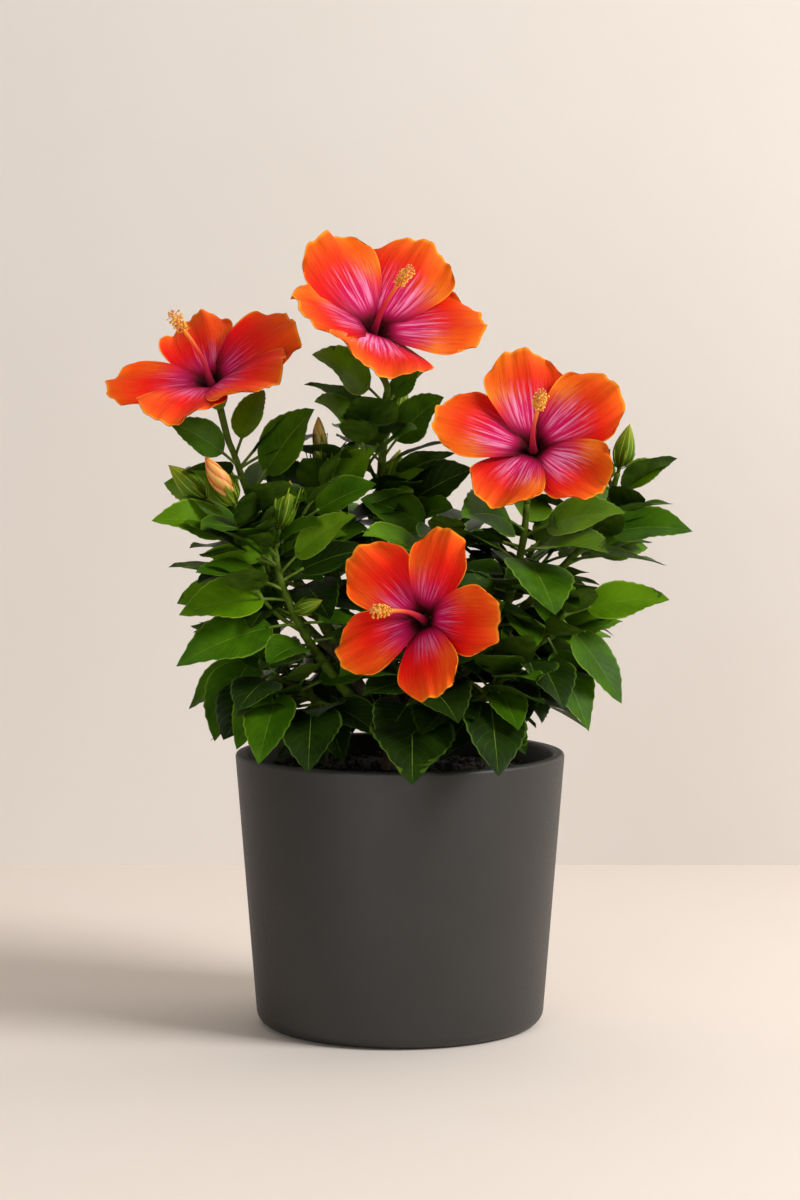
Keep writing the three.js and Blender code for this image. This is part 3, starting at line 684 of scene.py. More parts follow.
bpy.ops.mesh.primitive_ico_sphere_add(subdivisions=1, radius=1)
ROCK_POINTS, ROCK_FACES = take_apart(bpy.context.object)
CRUMB = Values(count=700, spread=102, lift=0.6, smallest=0.9, growth=2.4, form=(1.4, 1, 0.6), soil=0.55)
crumbs = Batch()
for i in range(CRUMB.count):
    out = CRUMB.spread * sqrt(chance(i, 1))
    spot = heading(360 * chance(i, 2), 0) * out
    spot.z = soil_height(out / SOIL.radius) + CRUMB.lift
    form = Vector(CRUMB.form) * (CRUMB.smallest + CRUMB.growth * chance(i, 3) ** 3)
    turn = Quaternion([chance(i, draw) - 0.5 for draw in (4, 5, 6, 7)]).normalized()
    verts = [spot + turn @ (point * form) for point in ROCK_POINTS]
    crumbs.add(verts, ROCK_FACES, slots=int(chance(i, 8) > CRUMB.soil))
settle(crumbs.build("soil_crumbs", [soil_finish, crumb_finish]), "soil")

# %% [markdown]
# ## Trunk and boughs
# The short trunk flares at the soil and forks into boughs, whose young ends turn from grey-brown
# bark to green. Separate tubes would show hard seams at the forks, so all the tubes are run
# together by a voxel remesh, smoothed, and then given bark relief by a noise that is drawn out
# along the wood.

# %% Wood
TRUNK = Values(foot=12, top=10, height=37, lean=(-4, -4), gap=0.3, flare=6, flare_end=0.35)
trunk_foot = SOIL.level + TRUNK.gap
trunk_top = trunk_foot + TRUNK.height
TRUNK_LINE = Line((0, 0, trunk_foot), (0, 0, (trunk_foot + trunk_top) / 2), (*TRUNK.lean, trunk_top))


def trunk_radius(t):
    return lerp(TRUNK.foot, TRUNK.top, t) + TRUNK.flare * max(0, TRUNK.flare_end - t)


def taper(a, b):
    return lambda t: lerp(a, b, t)


WOOD_GRAIN = 0.97  # the size of the cells that the tubes are run together with
FORK_OVERLAP = 0.02
tubes = Batch()
add_tube(tubes, TRUNK_LINE, trunk_radius, 24, 16)
for name, shoot in SHOOTS.items():
    add_tube(tubes, STEMS[name], taper(*shoot.radius), 12, 16, end=shoot.bare + FORK_OVERLAP)
wood = tubes.build("wood", [])
apply_modifier(wood, "REMESH", mode="VOXEL", voxel_size=WOOD_GRAIN * MM)
apply_modifier(wood, "SMOOTH", factor=0.5, iterations=4)

# %% [markdown]
# Marks along all the wood say how young it is there, and every point takes the value of its
# nearest mark. Shoots that rise from the soil are woody for longer than those on other shoots.

# %% Bark relief
BOUGH_MARKS, TRUNK_MARKS = 20, 5
BARK_SCALE = Vector((0.55, 0.55, 0.16))
LUMP_SCALE = 0.12
BARK_DEPTH, LUMP_DEPTH = 0.55, 0.4
YOUNG_RELIEF = 0.2
marks = []
for name, shoot in SHOOTS.items():
    greening = (0.35, 1.05) if shoot.on is None else (0.1, 0.9)
    for i in range(BOUGH_MARKS + 1):
        share = i / BOUGH_MARKS
        marks.append((STEMS[name].at(shoot.bare * share), ease(share, *greening)))
marks += [(TRUNK_LINE.at(i / TRUNK_MARKS), 0.0) for i in range(TRUNK_MARKS + 1)]
marks_tree = kdtree.KDTree(len(marks))
for i, (point, _) in enumerate(marks):
    marks_tree.insert(point, i)
marks_tree.balance()

young = []
normals = [vertex.normal.copy() for vertex in wood.data.vertices]
for vertex, normal in zip(wood.data.vertices, normals):
    place = vertex.co / MM
    youth = marks[marks_tree.find(place)[1]][1]
    relief = noise.fractal(place * BARK_SCALE, 0.9, 2.2, 4) * BARK_DEPTH
    relief += noise.noise(place * LUMP_SCALE) * LUMP_DEPTH
    vertex.co += normal * (relief * lerp(1.0, YOUNG_RELIEF, youth) * MM)
    young.append(youth)
layer = wood.data.attributes.new("youth", "FLOAT", "POINT")
layer.data.foreach_set("value", young)
select_only(wood)
bpy.ops.object.shade_smooth()
print("wood faces:", len(wood.data.polygons))

# %% Bark finish
bark_finish = Finish("bark", 0.85)
drawn = bark_finish.noise(420.0, 5.0, 0.65, bark_finish.stretched(1, 1, 0.22))
old_bark = bark_finish.ramp(drawn, [(0.3, 0x2A1E14), (0.5, 0x4C3A2A), (0.7, 0x76634E)])
new_bark = bark_finish.ramp(drawn, [(0.35, 0x324010), (0.65, 0x52601F)])
youth = bark_finish.node("Attribute", attribute_name="youth").outputs["Fac"]
bark_finish.colour(bark_finish.mix(youth, old_bark, new_bark))
bark_finish.bump(drawn, 0.6, 0.0008)
wood.data.materials.append(bark_finish.material)
settle(wood, "bark", "trunk", *("bough_" + name for name in SHOOTS))

# %% [markdown]
# ## How the leaves are placed
# The rule of the CAD source is written again here: leaves stand a golden turn apart round the
# stem, longer and lower at its foot and shorter and steeper at its tip. Side twigs carry three
# leaves each. A leaf that would run into the pot, the bowl of a bloom or another shoot's space is
# left out.

# %% Places of leaves and twigs
LEAF = Values(blade=64, width=0.62, stalk=0.22, bow=0.13, young=0.66)
TWIG = Values(length=(34, 48), rise=(28, 42), sag=3, turns=(-58, 52, 4), blade=66, shorter=6)
GOLDEN_TURN = 137.5
OWN_SPACE = 0.4
FRONT_LIGHT = Vector((0.1, -0.9, 0))
KEEP_OFF = Values(soil=4, inside=4, outside=6, above=3)  # how far a leaf stays from the pot
BOWL = (-12, 150)  # heights along a bloom's axis between which no leaf stands before it


def bloom_frame(bloom):
    a = Vector(bloom.axis).normalized()
    across = square_to(Vector((1, 0, 0)), a)
    return Vector(bloom.throat), a, across, a.cross(across)


def hits_pot(p):
    r = hypot(p.x, p.y)
    outside = POT.rim + KEEP_OFF.outside
    if p.z < SOIL.level + KEEP_OFF.soil:
        return r < outside
    inside = POT.rim - POT.wall - KEEP_OFF.inside
    return p.z < POT.height + KEEP_OFF.above and inside < r < outside


def hits_bloom(p):
    for bloom in BLOOMS.values():
        origin, a, _, _ = bloom_frame(bloom)
        away = p - origin
        h = away.dot(a)
        if BOWL[0] < h < BOWL[1] and (away - a * h).length < bloom.reach:
            return True
    return False


def is_blocked(*places):
    return any(hits_pot(p) or hits_bloom(p) for p in places)


STEM_POINTS = {}
for name, shoot in SHOOTS.items():
    STEM_POINTS[name] = [STEMS[name].at(lerp(shoot.bare, 1, i / 8)) for i in range(9)]


def in_own_space(p, name):
    near = {other: min((p - q).length for q in points) for other, points in STEM_POINTS.items()}
    return all(other == name or near[other] > near[name] * OWN_SPACE for other in SHOOTS)


YOUNG_FROM = 0.88  # the share of the shoot from which its leaves are new


def is_young(name, shown, age):
    """The bright new leaves that stand at the head of the shoot at the left front."""
    return name == "left_front" and shown and age > YOUNG_FROM


def leaf_line(root, tip, bow):
    middle = (root + tip) / 2 + UP * (bow * (tip - root).length)
    return lambda t: root * (1 - t) ** 2 + middle * (2 * t * (1 - t)) + tip * t**2


def grow_shoot(name, count):
    """The side twigs and the leaves of one shoot."""
    shoot, stem = SHOOTS[name], STEMS[name]
    twigs, leaves = [], []

    def leaf_to(root, tip, n, shown, age):
        bow = LEAF.bow * vary(0.8, 1.3, count, n + 11)
        roll = 0.0 if shown else radians(vary(-18, 18, count, n + 23))
        width = LEAF.width * vary(0.92, 1.08, count, n + 37)
        if is_young(name, shown, age):
            width *= LEAF.young
        curve = leaf_line(root, tip, bow)
        if shown or (in_own_space(tip, name) and not is_blocked(curve(0.5), curve(0.75), tip)):
            leaves.append(Values(
                root=root, tip=tip, bow=bow, roll=roll, width=width,
                shown=shown, age=age, shoot=name, seed=count * 1000 + n,
            ))

    for i, (t, *tip) in enumerate(shoot.shown):
        leaf_to(stem.at(t), Vector(tip), 100 + i, True, t)
    for j in range(shoot.twigs):
        t = lerp(shoot.bare + 0.12, 0.85, (j + 0.5) / shoot.twigs)
        root = stem.at(t)
        bearing = shoot.phase + 97 + GOLDEN_TURN * j
        length = vary(*TWIG.length, count, j + 51)
        tip = root + heading(bearing, vary(*TWIG.rise, count, j + 61)) * length
        if is_blocked(tip):
            continue
        twig = Line(root, (root + tip) / 2 - UP * TWIG.sag, tip)
        twigs.append(twig)
        for i, turn in enumerate(TWIG.turns):
            at = twig.at(0.6 + 0.2 * i)
            aim = heading(bearing + turn, vary(8, 32, count, j * 7 + i + 71))
            leaf_to(at, at + aim * (TWIG.blade - TWIG.shorter * i), 200 + j * 10 + i, False, t)
    for i in range(shoot.leaves):
        share = (i + 0.5) / shoot.leaves
        root = stem.at(lerp(shoot.bare + 0.06, 0.97, share))
        rise = lerp(-14, 38, share) + vary(-10, 10, count, i) - shoot.droop
        size = lerp(1, 0.68, share) * vary(0.88, 1.08, count, i + 5)
        aim = heading(shoot.phase + GOLDEN_TURN * i, rise)
        leaf_to(root, root + aim * (size * LEAF.blade / (1 - LEAF.stalk)), i, False, share)
    return twigs, leaves


twigs, leaves = [], []
for count, name in enumerate(SHOOTS):
    more_twigs, more_leaves = grow_shoot(name, count)
    twigs += more_twigs
    leaves += more_leaves
print("twigs:", len(twigs), "leaves:", len(leaves))

# %% [markdown]
# The CAD masses hold few leaves, so that their solids stay light. Here each mass is filled in with
# more leaves along the same stem, and only with those whose tips stay inside the mass.

# %% Finer leaves inside each mass
INNER = Values(count=20, length=(52, 76), width=0.64, first_draw=500)


def box_of(specs):
    """The lowest and highest coordinates of the roots and tips of some leaves."""
    ends = [end for spec in specs for end in (spec.root, spec.tip)]
    return [min(p[c] for p in ends) for c in range(3)], [max(p[c] for p in ends) for c in range(3)]


inner = []
for count, (name, shoot) in enumerate(SHOOTS.items()):
    low, high = box_of([spec for spec in leaves if spec.shoot == name])
    for i in range(INNER.count):
        share = (i + 0.5) / INNER.count
        n = INNER.first_draw + i
        root = STEMS[name].at(lerp(shoot.bare * 0.75, 0.96, share))
        rise = lerp(-30, 25, share) + vary(-15, 15, count, n)
        aim = heading(shoot.phase + 70 + GOLDEN_TURN * i, rise)
        tip = root + aim * vary(*INNER.length, count, n + 40)
        inside = all(low[c] <= tip[c] <= high[c] for c in range(3))
        if inside and not is_blocked((root + tip) / 2, tip):
            inner.append(Values(
                root=root, tip=tip, bow=LEAF.bow, roll=radians(vary(-20, 20, count, n + 80)),
                # the low age deals the inner leaves the darker tones, which paints shade into the inside
                # of each mass
                width=INNER.width, shown=False, age=share * 0.4, shoot=name, seed=count * 1000 + n,
            ))
leaves += inner
print("finer leaves:", len(inner))

# %% [markdown]
# ## The leaf
# A hibiscus leaf is a glossy pointed oval with a toothed outer half, a pale midrib and a slight
# fold along it. One leaf is modelled from a grid that is rolled into a flat sleeve, with two rows
# of faces below and five above, the narrow middle one being the midrib. Its points hold where
# they are across and along the blade, so every copy can be laid along its own bent line.

# %% One leaf as a template
LEAF_ROWS = {  # places along the blade, and how far its edge stands out there
    0: 1, 0.05: 1, 0.13: 1, 0.24: 1, 0.36: 1, 0.46: 1.02, 0.5: 0.975, 0.57: 1.025, 0.61: 0.965, 0.68: 1.03,
    0.72: 0.955, 0.79: 1.035, 0.83: 0.94, 0.9: 1.04, 1: 1,
}
ROW_PLACES = tuple(LEAF_ROWS)
LEAF_COLUMNS = ((-1, 0), (-0.55, 0), (-0.014, 0), (0.014, 0), (0.55, 0), (1, 0), (0, -1), (-1, 0))


def blade_width(y):
    """Half the width of the blade at a share of its length, 1 at the widest."""
    return max(y, 0) ** 0.62 * max(1 - y, 0) ** 1.03 / 0.335


steps_across, steps_along = len(LEAF_COLUMNS) - 1, len(LEAF_ROWS) - 1
bpy.ops.mesh.primitive_grid_add(x_subdivisions=steps_across, y_subdivisions=steps_along, size=1)
template = bpy.context.object
for vertex in template.data.vertices:
    row = round((vertex.co.y + 0.5) * steps_along)
    across, depth = LEAF_COLUMNS[round((vertex.co.x + 0.5) * steps_across)]
    vertex.co = (0, 1, 0) if row == steps_along else (across, ROW_PLACES[row], depth)
bpy.ops.object.mode_set(mode="EDIT")
bpy.ops.mesh.select_all(action="SELECT")
bpy.ops.mesh.remove_doubles(threshold=0.001)
bpy.ops.mesh.fill_holes(sides=8)
bpy.ops.object.mode_set(mode="OBJECT")
LEAF_PARTS = []
for polygon in template.data.polygons:
    middle = polygon.center
    LEAF_PARTS.append("under" if middle.z < -0.2 else "rib" if abs(middle.x) < 0.06 else "upper")
LEAF_POINTS, LEAF_FACES = take_apart(template)
LEAF_UVS = [(p.x / 2 + 0.5, p.y) for p in LEAF_POINTS]
print("leaf template:", len(LEAF_FACES), "faces")


# %% Leaves laid along their lines
OUTWARDS = 0.6  # how far the upper sides lean out from the stem
END_ON = 0.3  # a leaf that points closer to the light than this isn't turned to it


def leaf_facing(spec):
    """Where the upper side of a leaf looks: up, outwards, and to the front light where it can."""
    tip, aim = spec.tip, (spec.tip - spec.root).normalized()
    upper = UP + Vector((tip.x, tip.y, 0)).normalized() * OUTWARDS
    lit = upper + FRONT_LIGHT
    return lit if spec.shown and lit.normalized().cross(aim).length > END_ON else upper


def leaf_rows(spec):
    """The midrib of a leaf as rows: point, side and face directions, and half the width."""
    curve = leaf_line(spec.root, spec.tip, spec.bow)
    length = (spec.tip - spec.root).length * (1 - LEAF.stalk)
    upper, rows = leaf_facing(spec), {}
    for y, tooth in LEAF_ROWS.items():
        t = lerp(LEAF.stalk, 1, y)
        along = (curve(min(t + 0.01, 1)) - curve(t - 0.01)).normalized()
        point = curve(t)
        face = Quaternion(along, spec.roll) @ square_to(upper, along)
        half = spec.width * length * 0.5 * blade_width(y) * tooth
        rows[y] = (point, along.cross(face), face, max(half, 1.0 if y < 0.1 else 0.0))
    return rows, length


BLADE = Values(fold=(0.2, 0.44), flatten=0.12, ripple=0.07, ripples=9, groove=0.25, depth=0.012, edge=0.3)


def leaf_points(spec):
    """The template's points, laid along one leaf: folded, rippled and a little hollow at the midrib."""
    rows, length = leaf_rows(spec)
    widest = spec.width * length * 0.5
    wave, fold = 6.28 * chance(spec.seed, 3), vary(*BLADE.fold, spec.seed, 4)
    made = []
    for p in LEAF_POINTS:
        y = min(LEAF_ROWS, key=lambda row: abs(row - p.y))
        point, side, face, half = rows[y]
        x = abs(p.x)
        folded = fold * x - BLADE.flatten * x * x
        side_wave = wave + (1.4 if p.x > 0 else 0)
        ripple = BLADE.ripple * x * x * sin(BLADE.ripples * y + side_wave)
        rise = widest * (folded * blade_width(y) + ripple * ease(y, 0.1, 0.5))
        if p.z < -0.5:
            rise = -BLADE.depth * length * (1 - y) - BLADE.edge
        elif x < 0.1:
            rise -= BLADE.groove
        made.append(point + side * (p.x * half) + face * rise)
    return made


LEAF_TONES = ("deep", "mid", "fresh", "young")
MID_FROM, FRESH_FROM = 0.42, 0.8


def leaf_tone(spec):
    """Dealt out by shoot and by place on it, lighter towards the tips and darker near the pot; the
    darkening near the pot is painted shade under the crown.
    """
    if is_young(spec.shoot, spec.shown, spec.age):
        return "young"
    shade = 0.4 * ease(spec.tip.z, 280, 215)
    light = spec.age * 0.6 + 0.55 * chance(spec.seed, 9) - shade
    return "deep" if light < MID_FROM else "mid" if light < FRESH_FROM else "fresh"


foliage = Batch()
for spec in leaves:
    tone = LEAF_TONES.index(leaf_tone(spec))
    slot_of = {"upper": tone, "rib": 4, "under": 5}
    foliage.add(leaf_points(spec), LEAF_FACES, LEAF_UVS, [slot_of[part] for part in LEAF_PARTS])


# %% Leaf finishes
LEAF_SHEEN = 0.08
OLD_LEAF_SHEEN = 0.16


def leaf_finish(name, dark, light, vein, roughness, sheen=LEAF_SHEEN):
    finish = Finish(name, roughness, Specular_IOR_Level=sheen)
    u, v = finish.uv()
    x = finish.to_ends(u)
    slanted = finish.math("SUBTRACT", v, finish.times(x, 0.3))
    wave = finish.math("FRACT", finish.times(slanted, 9.0))
    side_veins = finish.smooth(finish.to_ends(wave), 0.84, 1.0)
    # A pale band along the edge: partly the leaf's own pale edge, partly painted rim light where light
    # glows through the thin edge.
    pale_edge_and_rim_light = finish.smooth(x, 0.9, 0.98)
    tone = finish.mottle(finish.noise(55.0), dark, light)
    veined = finish.mix(finish.times(side_veins, 0.1), tone, vein)
    finish.colour(finish.mix(finish.times(pale_edge_and_rim_light, 0.6), veined, vein))
    pores = finish.times(finish.noise(700.0, 2.0), 0.15)
    finish.bump(finish.math("MULTIPLY_ADD", side_veins, -0.8, pores), 0.35, 0.0007)
    return finish


def plain_leaf_finish(name, dark, light, roughness):
    finish = Finish(name, roughness, Specular_IOR_Level=LEAF_SHEEN)
    finish.colour(finish.mottle(finish.noise(120.0), dark, light))
    finish.bump(finish.noise(600.0, 2.0), 0.2, 0.0004)
    return finish


LEAF_FINISHES = [
    leaf_finish("leaf_deep", 0x162804, 0x203806, 0x5A7A28, 0.4, OLD_LEAF_SHEEN),
    leaf_finish("leaf_mid", 0x2E5204, 0x406806, 0x7C9C2C, 0.44),
    leaf_finish("leaf_fresh", 0x4A7204, 0x5E8808, 0x9AB43C, 0.44),
    leaf_finish("leaf_young", 0x5A8410, 0x70981A, 0xA4BC48, 0.42),
    plain_leaf_finish("leaf_midrib", 0x567420, 0x728E34, 0.42),
    plain_leaf_finish("leaf_underside", 0x2E480C, 0x446014, 0.65),
]
leaf_piece = foliage.build("leaves", LEAF_FINISHES)
select_only(leaf_piece)
bpy.ops.object.shade_smooth_by_angle(angle=radians(60))
settle(leaf_piece, "leaf", *("foliage_" + name for name in SHOOTS))

# %% [markdown]
# ## Green stems
# The leafy stretch of each shoot, its side twigs and the leaf stalks are smooth and green. Their
# ends run into the wood and the leaves, so they are plain tubes, joined into one mesh.

# %% Stems, twigs and leaf stalks
INTO_WOOD = 0.02  # the share by which the green stem runs into its bough
TWIG_RADIUS = (1.8, 1.1)
STALK_SHARES = (0.0, 0.08, 0.16, 0.26)


def knotted(base, tip):
    """A tapering radius with a faint swelling at every knot of the stem."""
    return lambda t: lerp(base, tip, t) * (1 + 0.1 * sin(t * 60) ** 8)


def stalk_radius(t):
    return 1.0 + 0.5 * (1 - t) ** 6 + 0.25 * t**6


stems = Batch()
for name, shoot in SHOOTS.items():
    add_tube(stems, STEMS[name], knotted(*shoot.radius), 10, 40, start=shoot.bare - INTO_WOOD)
for twig in twigs:
    add_tube(stems, twig, taper(*TWIG_RADIUS), 8, 8)
for spec in leaves:
    curve = leaf_line(spec.root, spec.tip, spec.bow)
    add_tube(stems, Line(*map(curve, STALK_SHARES)), stalk_radius, 6, 6, slot=1)
stem_finish = plain_leaf_finish("stem_green", 0x3E540E, 0x58701C, 0.5)
stalk_finish = plain_leaf_finish("stalk_green", 0x4E6A1C, 0x728A34, 0.45)
settle(stems.build("stems", [stem_finish, stalk_finish]), "leaf")

# %% [markdown]
# ## Blooms
# Each bloom has five broad petals that rise from a narrow throat and lie back, every one lapping
# over its neighbour on the same side, with soft ruffles at the ends. A grid is bent into each
# petal by the same formula as in the CAD source, only with many more points, and a thin wall is
# given to it by Solidify. The map on the petal runs across and along it for the colours.

# %% Petal shape
PETAL = Values(throat=4, half_width=0.39, round=0.26, wall=0.4, across=28, along=30)
SLOPE = Values(throat=24, lie_down=0.22, droop=14, steps=12)  # how a petal leaves the throat, in degrees
RUFFLES = ((0.05, 2, 4.2, 1, 0), (0.022, 3, 9, 2, 0), (0.012, 4, 21, 3, 1))
FRAYED_END = Values(depth=0.01, ripples=11)
GROOVE = Values(depth=0.012, width=0.16)


def petal_path(v, k, bloom):
    """How far out and how high petal k has come at a share of its length."""
    step = v * bloom.reach * bloom.long[k] / SLOPE.steps
    r, h = PETAL.throat, 0.0
    for i in range(SLOPE.steps):
        w = (i + 0.5) / SLOPE.steps * v
        opened = ease(w, 0, SLOPE.lie_down)
        slope = radians(lerp(SLOPE.throat, bloom.open, opened) + SLOPE.droop * w * w)
        r += sin(slope) * step
        h += cos(slope) * step
    return r, h


def petal_point(u, v, k, bloom):
    """Outwards, sideways and height of a point of petal k. u runs across it and v along it."""
    wave = bloom.wave[k]
    r, h = petal_path(v - PETAL.round * abs(u * v) ** 3, k, bloom)
    frayed = FRAYED_END.depth * v**8 * sin(FRAYED_END.ripples * u + 5 * wave + k)
    half = PETAL.half_width * bloom.wide[k] * bloom.reach
    half *= sin(pi * (0.05 + 0.6 * v))
    lift = 0.05 * u * u * v + bloom.tilt[k] * bloom.hand * u * min(1, 2.5 * v)
    for height, growth, ripples, turn, own_turn in RUFFLES:
        lift += height * v**growth * sin(ripples * u + turn * wave + own_turn * k)
    groove = exp(-((u / GROOVE.width) ** 2)) * ease(v, 0.15, 0.4) * ease(v, 1.0, 0.7)
    reach = bloom.reach
    return r + reach * frayed, u * half, h + reach * (lift - GROOVE.depth * groove)


def petals_of(name, bloom, finish):
    origin, a, across, up = bloom_frame(bloom)
    batch = Batch()
    bpy.ops.mesh.primitive_grid_add(x_subdivisions=PETAL.across, y_subdivisions=PETAL.along, size=2)
    points, faces = take_apart(bpy.context.object)
    for k, bearing in enumerate(bloom.petals):
        angle = radians(bearing)
        out = across * cos(angle) + up * sin(angle)
        side = a.cross(out)
        verts, uvs = [], []
        for p in points:
            u, v = p.x, (p.y + 1) / 2
            x, y, h = petal_point(u, v, k, bloom)
            verts.append(origin + out * x + side * y + a * h)
            uvs.append((0.5 + 0.5 * u * bloom.hand, v + k))
        batch.add(verts, [f[::-1] for f in faces], uvs)
    piece = batch.build("petals_" + name, [finish])
    apply_modifier(piece, "SOLIDIFY", thickness=PETAL.wall * MM, offset=0.0)
    bpy.ops.object.shade_smooth_by_angle(angle=radians(60))
    return piece


# %% [markdown]
# The petal's colours run from a near-black crimson throat through magenta, streaked with pale
# pink, to red on one half and orange on the other, with a thin golden rim. All of it is made from
# the map: ramps along the petal, a blend across it, and noise drawn out into fine rays.

# %% Petal finish
RED_PLACES = (0.0, 0.1, 0.2, 0.3, 0.45, 0.64, 0.82, 1.0)
GOLD_PLACES = (0.0, 0.1, 0.2, 0.3, 0.4, 0.55, 0.8, 1.0)
THROAT = (0x160104, 0x34020C)
BRIGHT_RED = (*THROAT, 0x74041C, 0xB40626, 0xD40812, 0xE01C08, 0xE8420C, 0xF0680E)
# SCARLET and SUNSET, the redder set, have brighter reds and oranges than BRIGHT_RED and BRIGHT_GOLD:
# partly the own redder colour of two blooms, partly painted light for blooms that face away from the key
# light.
SCARLET = (*THROAT, 0x8C0420, 0xD0082A, 0xF00C14, 0xF8220A, 0xFA440E, 0xFA6612)
BRIGHT_GOLD = (*THROAT, 0x860830, 0xC41C40, 0xE24024, 0xF27418, 0xEE600C, 0xF67E14)
SUNSET = (*THROAT, 0x9C0A34, 0xDC1C40, 0xF23420, 0xFA5A14, 0xFA520C, 0xFC7412)
HEART, STREAK, VEIN, RIM = 0xCC0A60, 0xFFA0CC, 0x960612, 0xFAA028


def petal_finish(name, red, gold, streaks, glow, veins):
    """The colours of a petal: its two halves, how pale and wide its heart is, how dark its veins."""
    finish = Finish(name, 0.65, Specular_IOR_Level=0.1)
    times, smooth = finish.times, finish.smooth
    u, v_all = finish.uv()
    v, number = finish.math("FRACT", v_all), finish.math("FLOOR", v_all)

    def rays_of(across, along, detail, rough):
        return finish.noise(1.0, detail, rough, finish.vector(times(u, across), times(v, along), number))

    rays, fine_rays = rays_of(26.0, 1.6, 4.0, 0.6), rays_of(52.0, 3.0, 2.0, 0.5)
    v_red = finish.math("MULTIPLY_ADD", rays, 0.16, finish.math("SUBTRACT", v, 0.08))
    spread = finish.math("MULTIPLY_ADD", finish.noise(60.0, 2.0), 0.3, finish.math("SUBTRACT", u, 0.15))
    red_side = finish.ramp(v_red, zip(RED_PLACES, red))
    gold_side = finish.ramp(v_red, zip(GOLD_PLACES, gold))
    base = finish.mix(smooth(spread, 0.5, 0.95), red_side, gold_side)
    off_middle = finish.math("ABSOLUTE", finish.math("MULTIPLY_ADD", u, 2.0, -1.1))
    heart_zone = times(smooth(v, 0.1, 0.24), smooth(v_red, glow, glow - 0.26))
    heart = times(smooth(off_middle, 0.95, 0.1), heart_zone)
    with_heart = finish.mix(times(heart, 0.8), base, HEART)
    ray_zone = times(smooth(v, 0.17, 0.3), smooth(v, glow + 0.14, glow - 0.16))
    streak = times(smooth(rays, 0.44, 0.64), times(ray_zone, smooth(off_middle, 0.85, 0.15)))
    with_streaks = finish.mix(times(streak, streaks), with_heart, STREAK)
    vein_lines = times(smooth(fine_rays, 0.52, 0.66), smooth(v, 1.0, 0.6))
    with_veins = finish.mix(times(vein_lines, veins), with_streaks, VEIN)
    edge = finish.math("MAXIMUM", finish.to_ends(u), v)
    rim = times(smooth(edge, 0.955, 0.995), smooth(v, 0.4, 0.6))
    finish.colour(finish.mix(times(rim, 0.75), with_veins, RIM))
    finish.bump(finish.math("ADD", rays, fine_rays), 0.5, 0.0008)
    return finish


# The redder set, with fewer pink streaks, goes on the front and upper left blooms; its brighter reds are
# painted light that makes up for the key light they face away from.
bright_petal = petal_finish("petal_bright", BRIGHT_RED, BRIGHT_GOLD, 0.84, 0.6, 0.4)
redder_petal_painted_light = petal_finish("petal_redder_painted_light", SCARLET, SUNSET, 0.42, 0.48, 0.3)
for name, bloom in BLOOMS.items():
    finish = bright_petal if name in ("top", "upper_right") else redder_petal_painted_light
    settle(petals_of(name, bloom, finish), "petal", "bloom_" + name)

# %% [markdown]
# ## Columns and stamens
# From the throat of a hibiscus rises one long column. Its outer quarter is ringed by stamens, each
# a short filament with a golden anther, and it ends in five small stigma pads. The column is a
# tube along its own curve, and the anthers are one small bead, copied.

# %% Columns, anthers and stigmas
COLUMN = Values(length=64, head=15, turns_at=0.45, foot=2.3, neck=1.4, flare=1.2)
ANTHERS, STIGMAS = 64, 5
GOLD_BEAD, FILAMENT, ORANGE_BEAD, STIGMA = range(4)  # their places among the finishes of the stamens
columns, stamens = Batch(), Batch()


def add_bead(centre, radius, slot, stretch, along):
    turn = UP.rotation_difference(along)
    verts = [centre + turn @ Vector((p.x, p.y, p.z * stretch)) * radius for p in ROCK_POINTS]
    stamens.add(verts, ROCK_FACES, slots=slot)


def column_radius(t):
    return lerp(COLUMN.foot, COLUMN.neck, ease(t, 0, 0.5)) + COLUMN.flare * (1 - t) ** 10


def ring_round(axis, towards, degrees):
    """A direction square to an axis, turned round it from the side that looks towards another."""
    return Quaternion(axis, radians(degrees)) @ square_to(towards, axis)


for count, bloom in enumerate(BLOOMS.values()):
    origin, a, across, _ = bloom_frame(bloom)
    tip = origin + Vector(bloom.column).normalized() * COLUMN.length
    column = Line(origin, origin + a * (COLUMN.length * COLUMN.turns_at), tip)
    add_tube(columns, column, column_radius, 12, 20)
    head_start = 1 - COLUMN.head / COLUMN.length
    for i in range(ANTHERS):
        t = lerp(head_start, 0.985, (i + chance(count, i)) / ANTHERS)
        root, along = column.at(t), column.along(t)
        out = ring_round(along, across, GOLDEN_TURN * i)
        aim = (out + along * vary(-0.15, 0.35, count, i + 30)).normalized()
        end = root + aim * (1.2 + vary(1.4, 3.4, count, i + 90) * lerp(0.75, 1.3, i / ANTHERS))
        filament = Line(root, (root + end) / 2 + along * 0.8, end)
        add_tube(stamens, filament, taper(0.28, 0.2), 3, 3, slot=FILAMENT)
        bead = ORANGE_BEAD if chance(count, i + 7) > 0.7 else GOLD_BEAD
        add_bead(end, vary(0.8, 1.1, count, i + 60), bead, 0.8, along)
    along = column.along(1)
    for i in range(STIGMAS):
        out = ring_round(along, across, 360 / STIGMAS * i)
        end = tip + along * 2.6 + out * 1.9
        style = Line(tip - along, tip + along * 1.6 + out * 0.7, end)
        add_tube(stamens, style, taper(0.4, 0.35), 5, 4, slot=FILAMENT)
        add_bead(end, 0.95, STIGMA, 0.7, along)

column_finish = Finish("column", 0.45)
_, height = column_finish.uv()
COLUMN_TONES = [
    (0.0, 0x6A0A24), (0.2, 0xB01C40), (0.45, 0xD83A3C), (0.65, 0xEE7A34), (0.8, 0xF4A83C), (1.0, 0xF6B848)
]
column_finish.colour(column_finish.ramp(height, COLUMN_TONES))
column_finish.bump(column_finish.noise(500.0, 2.0), 0.2, 0.0004)


def bead_finish(name, dark, light):
    finish = Finish(name, 0.7)
    dust = finish.noise(1500.0, 2.0)
    finish.colour(finish.mottle(dust, dark, light))
    finish.bump(dust, 0.6, 0.0004)
    return finish


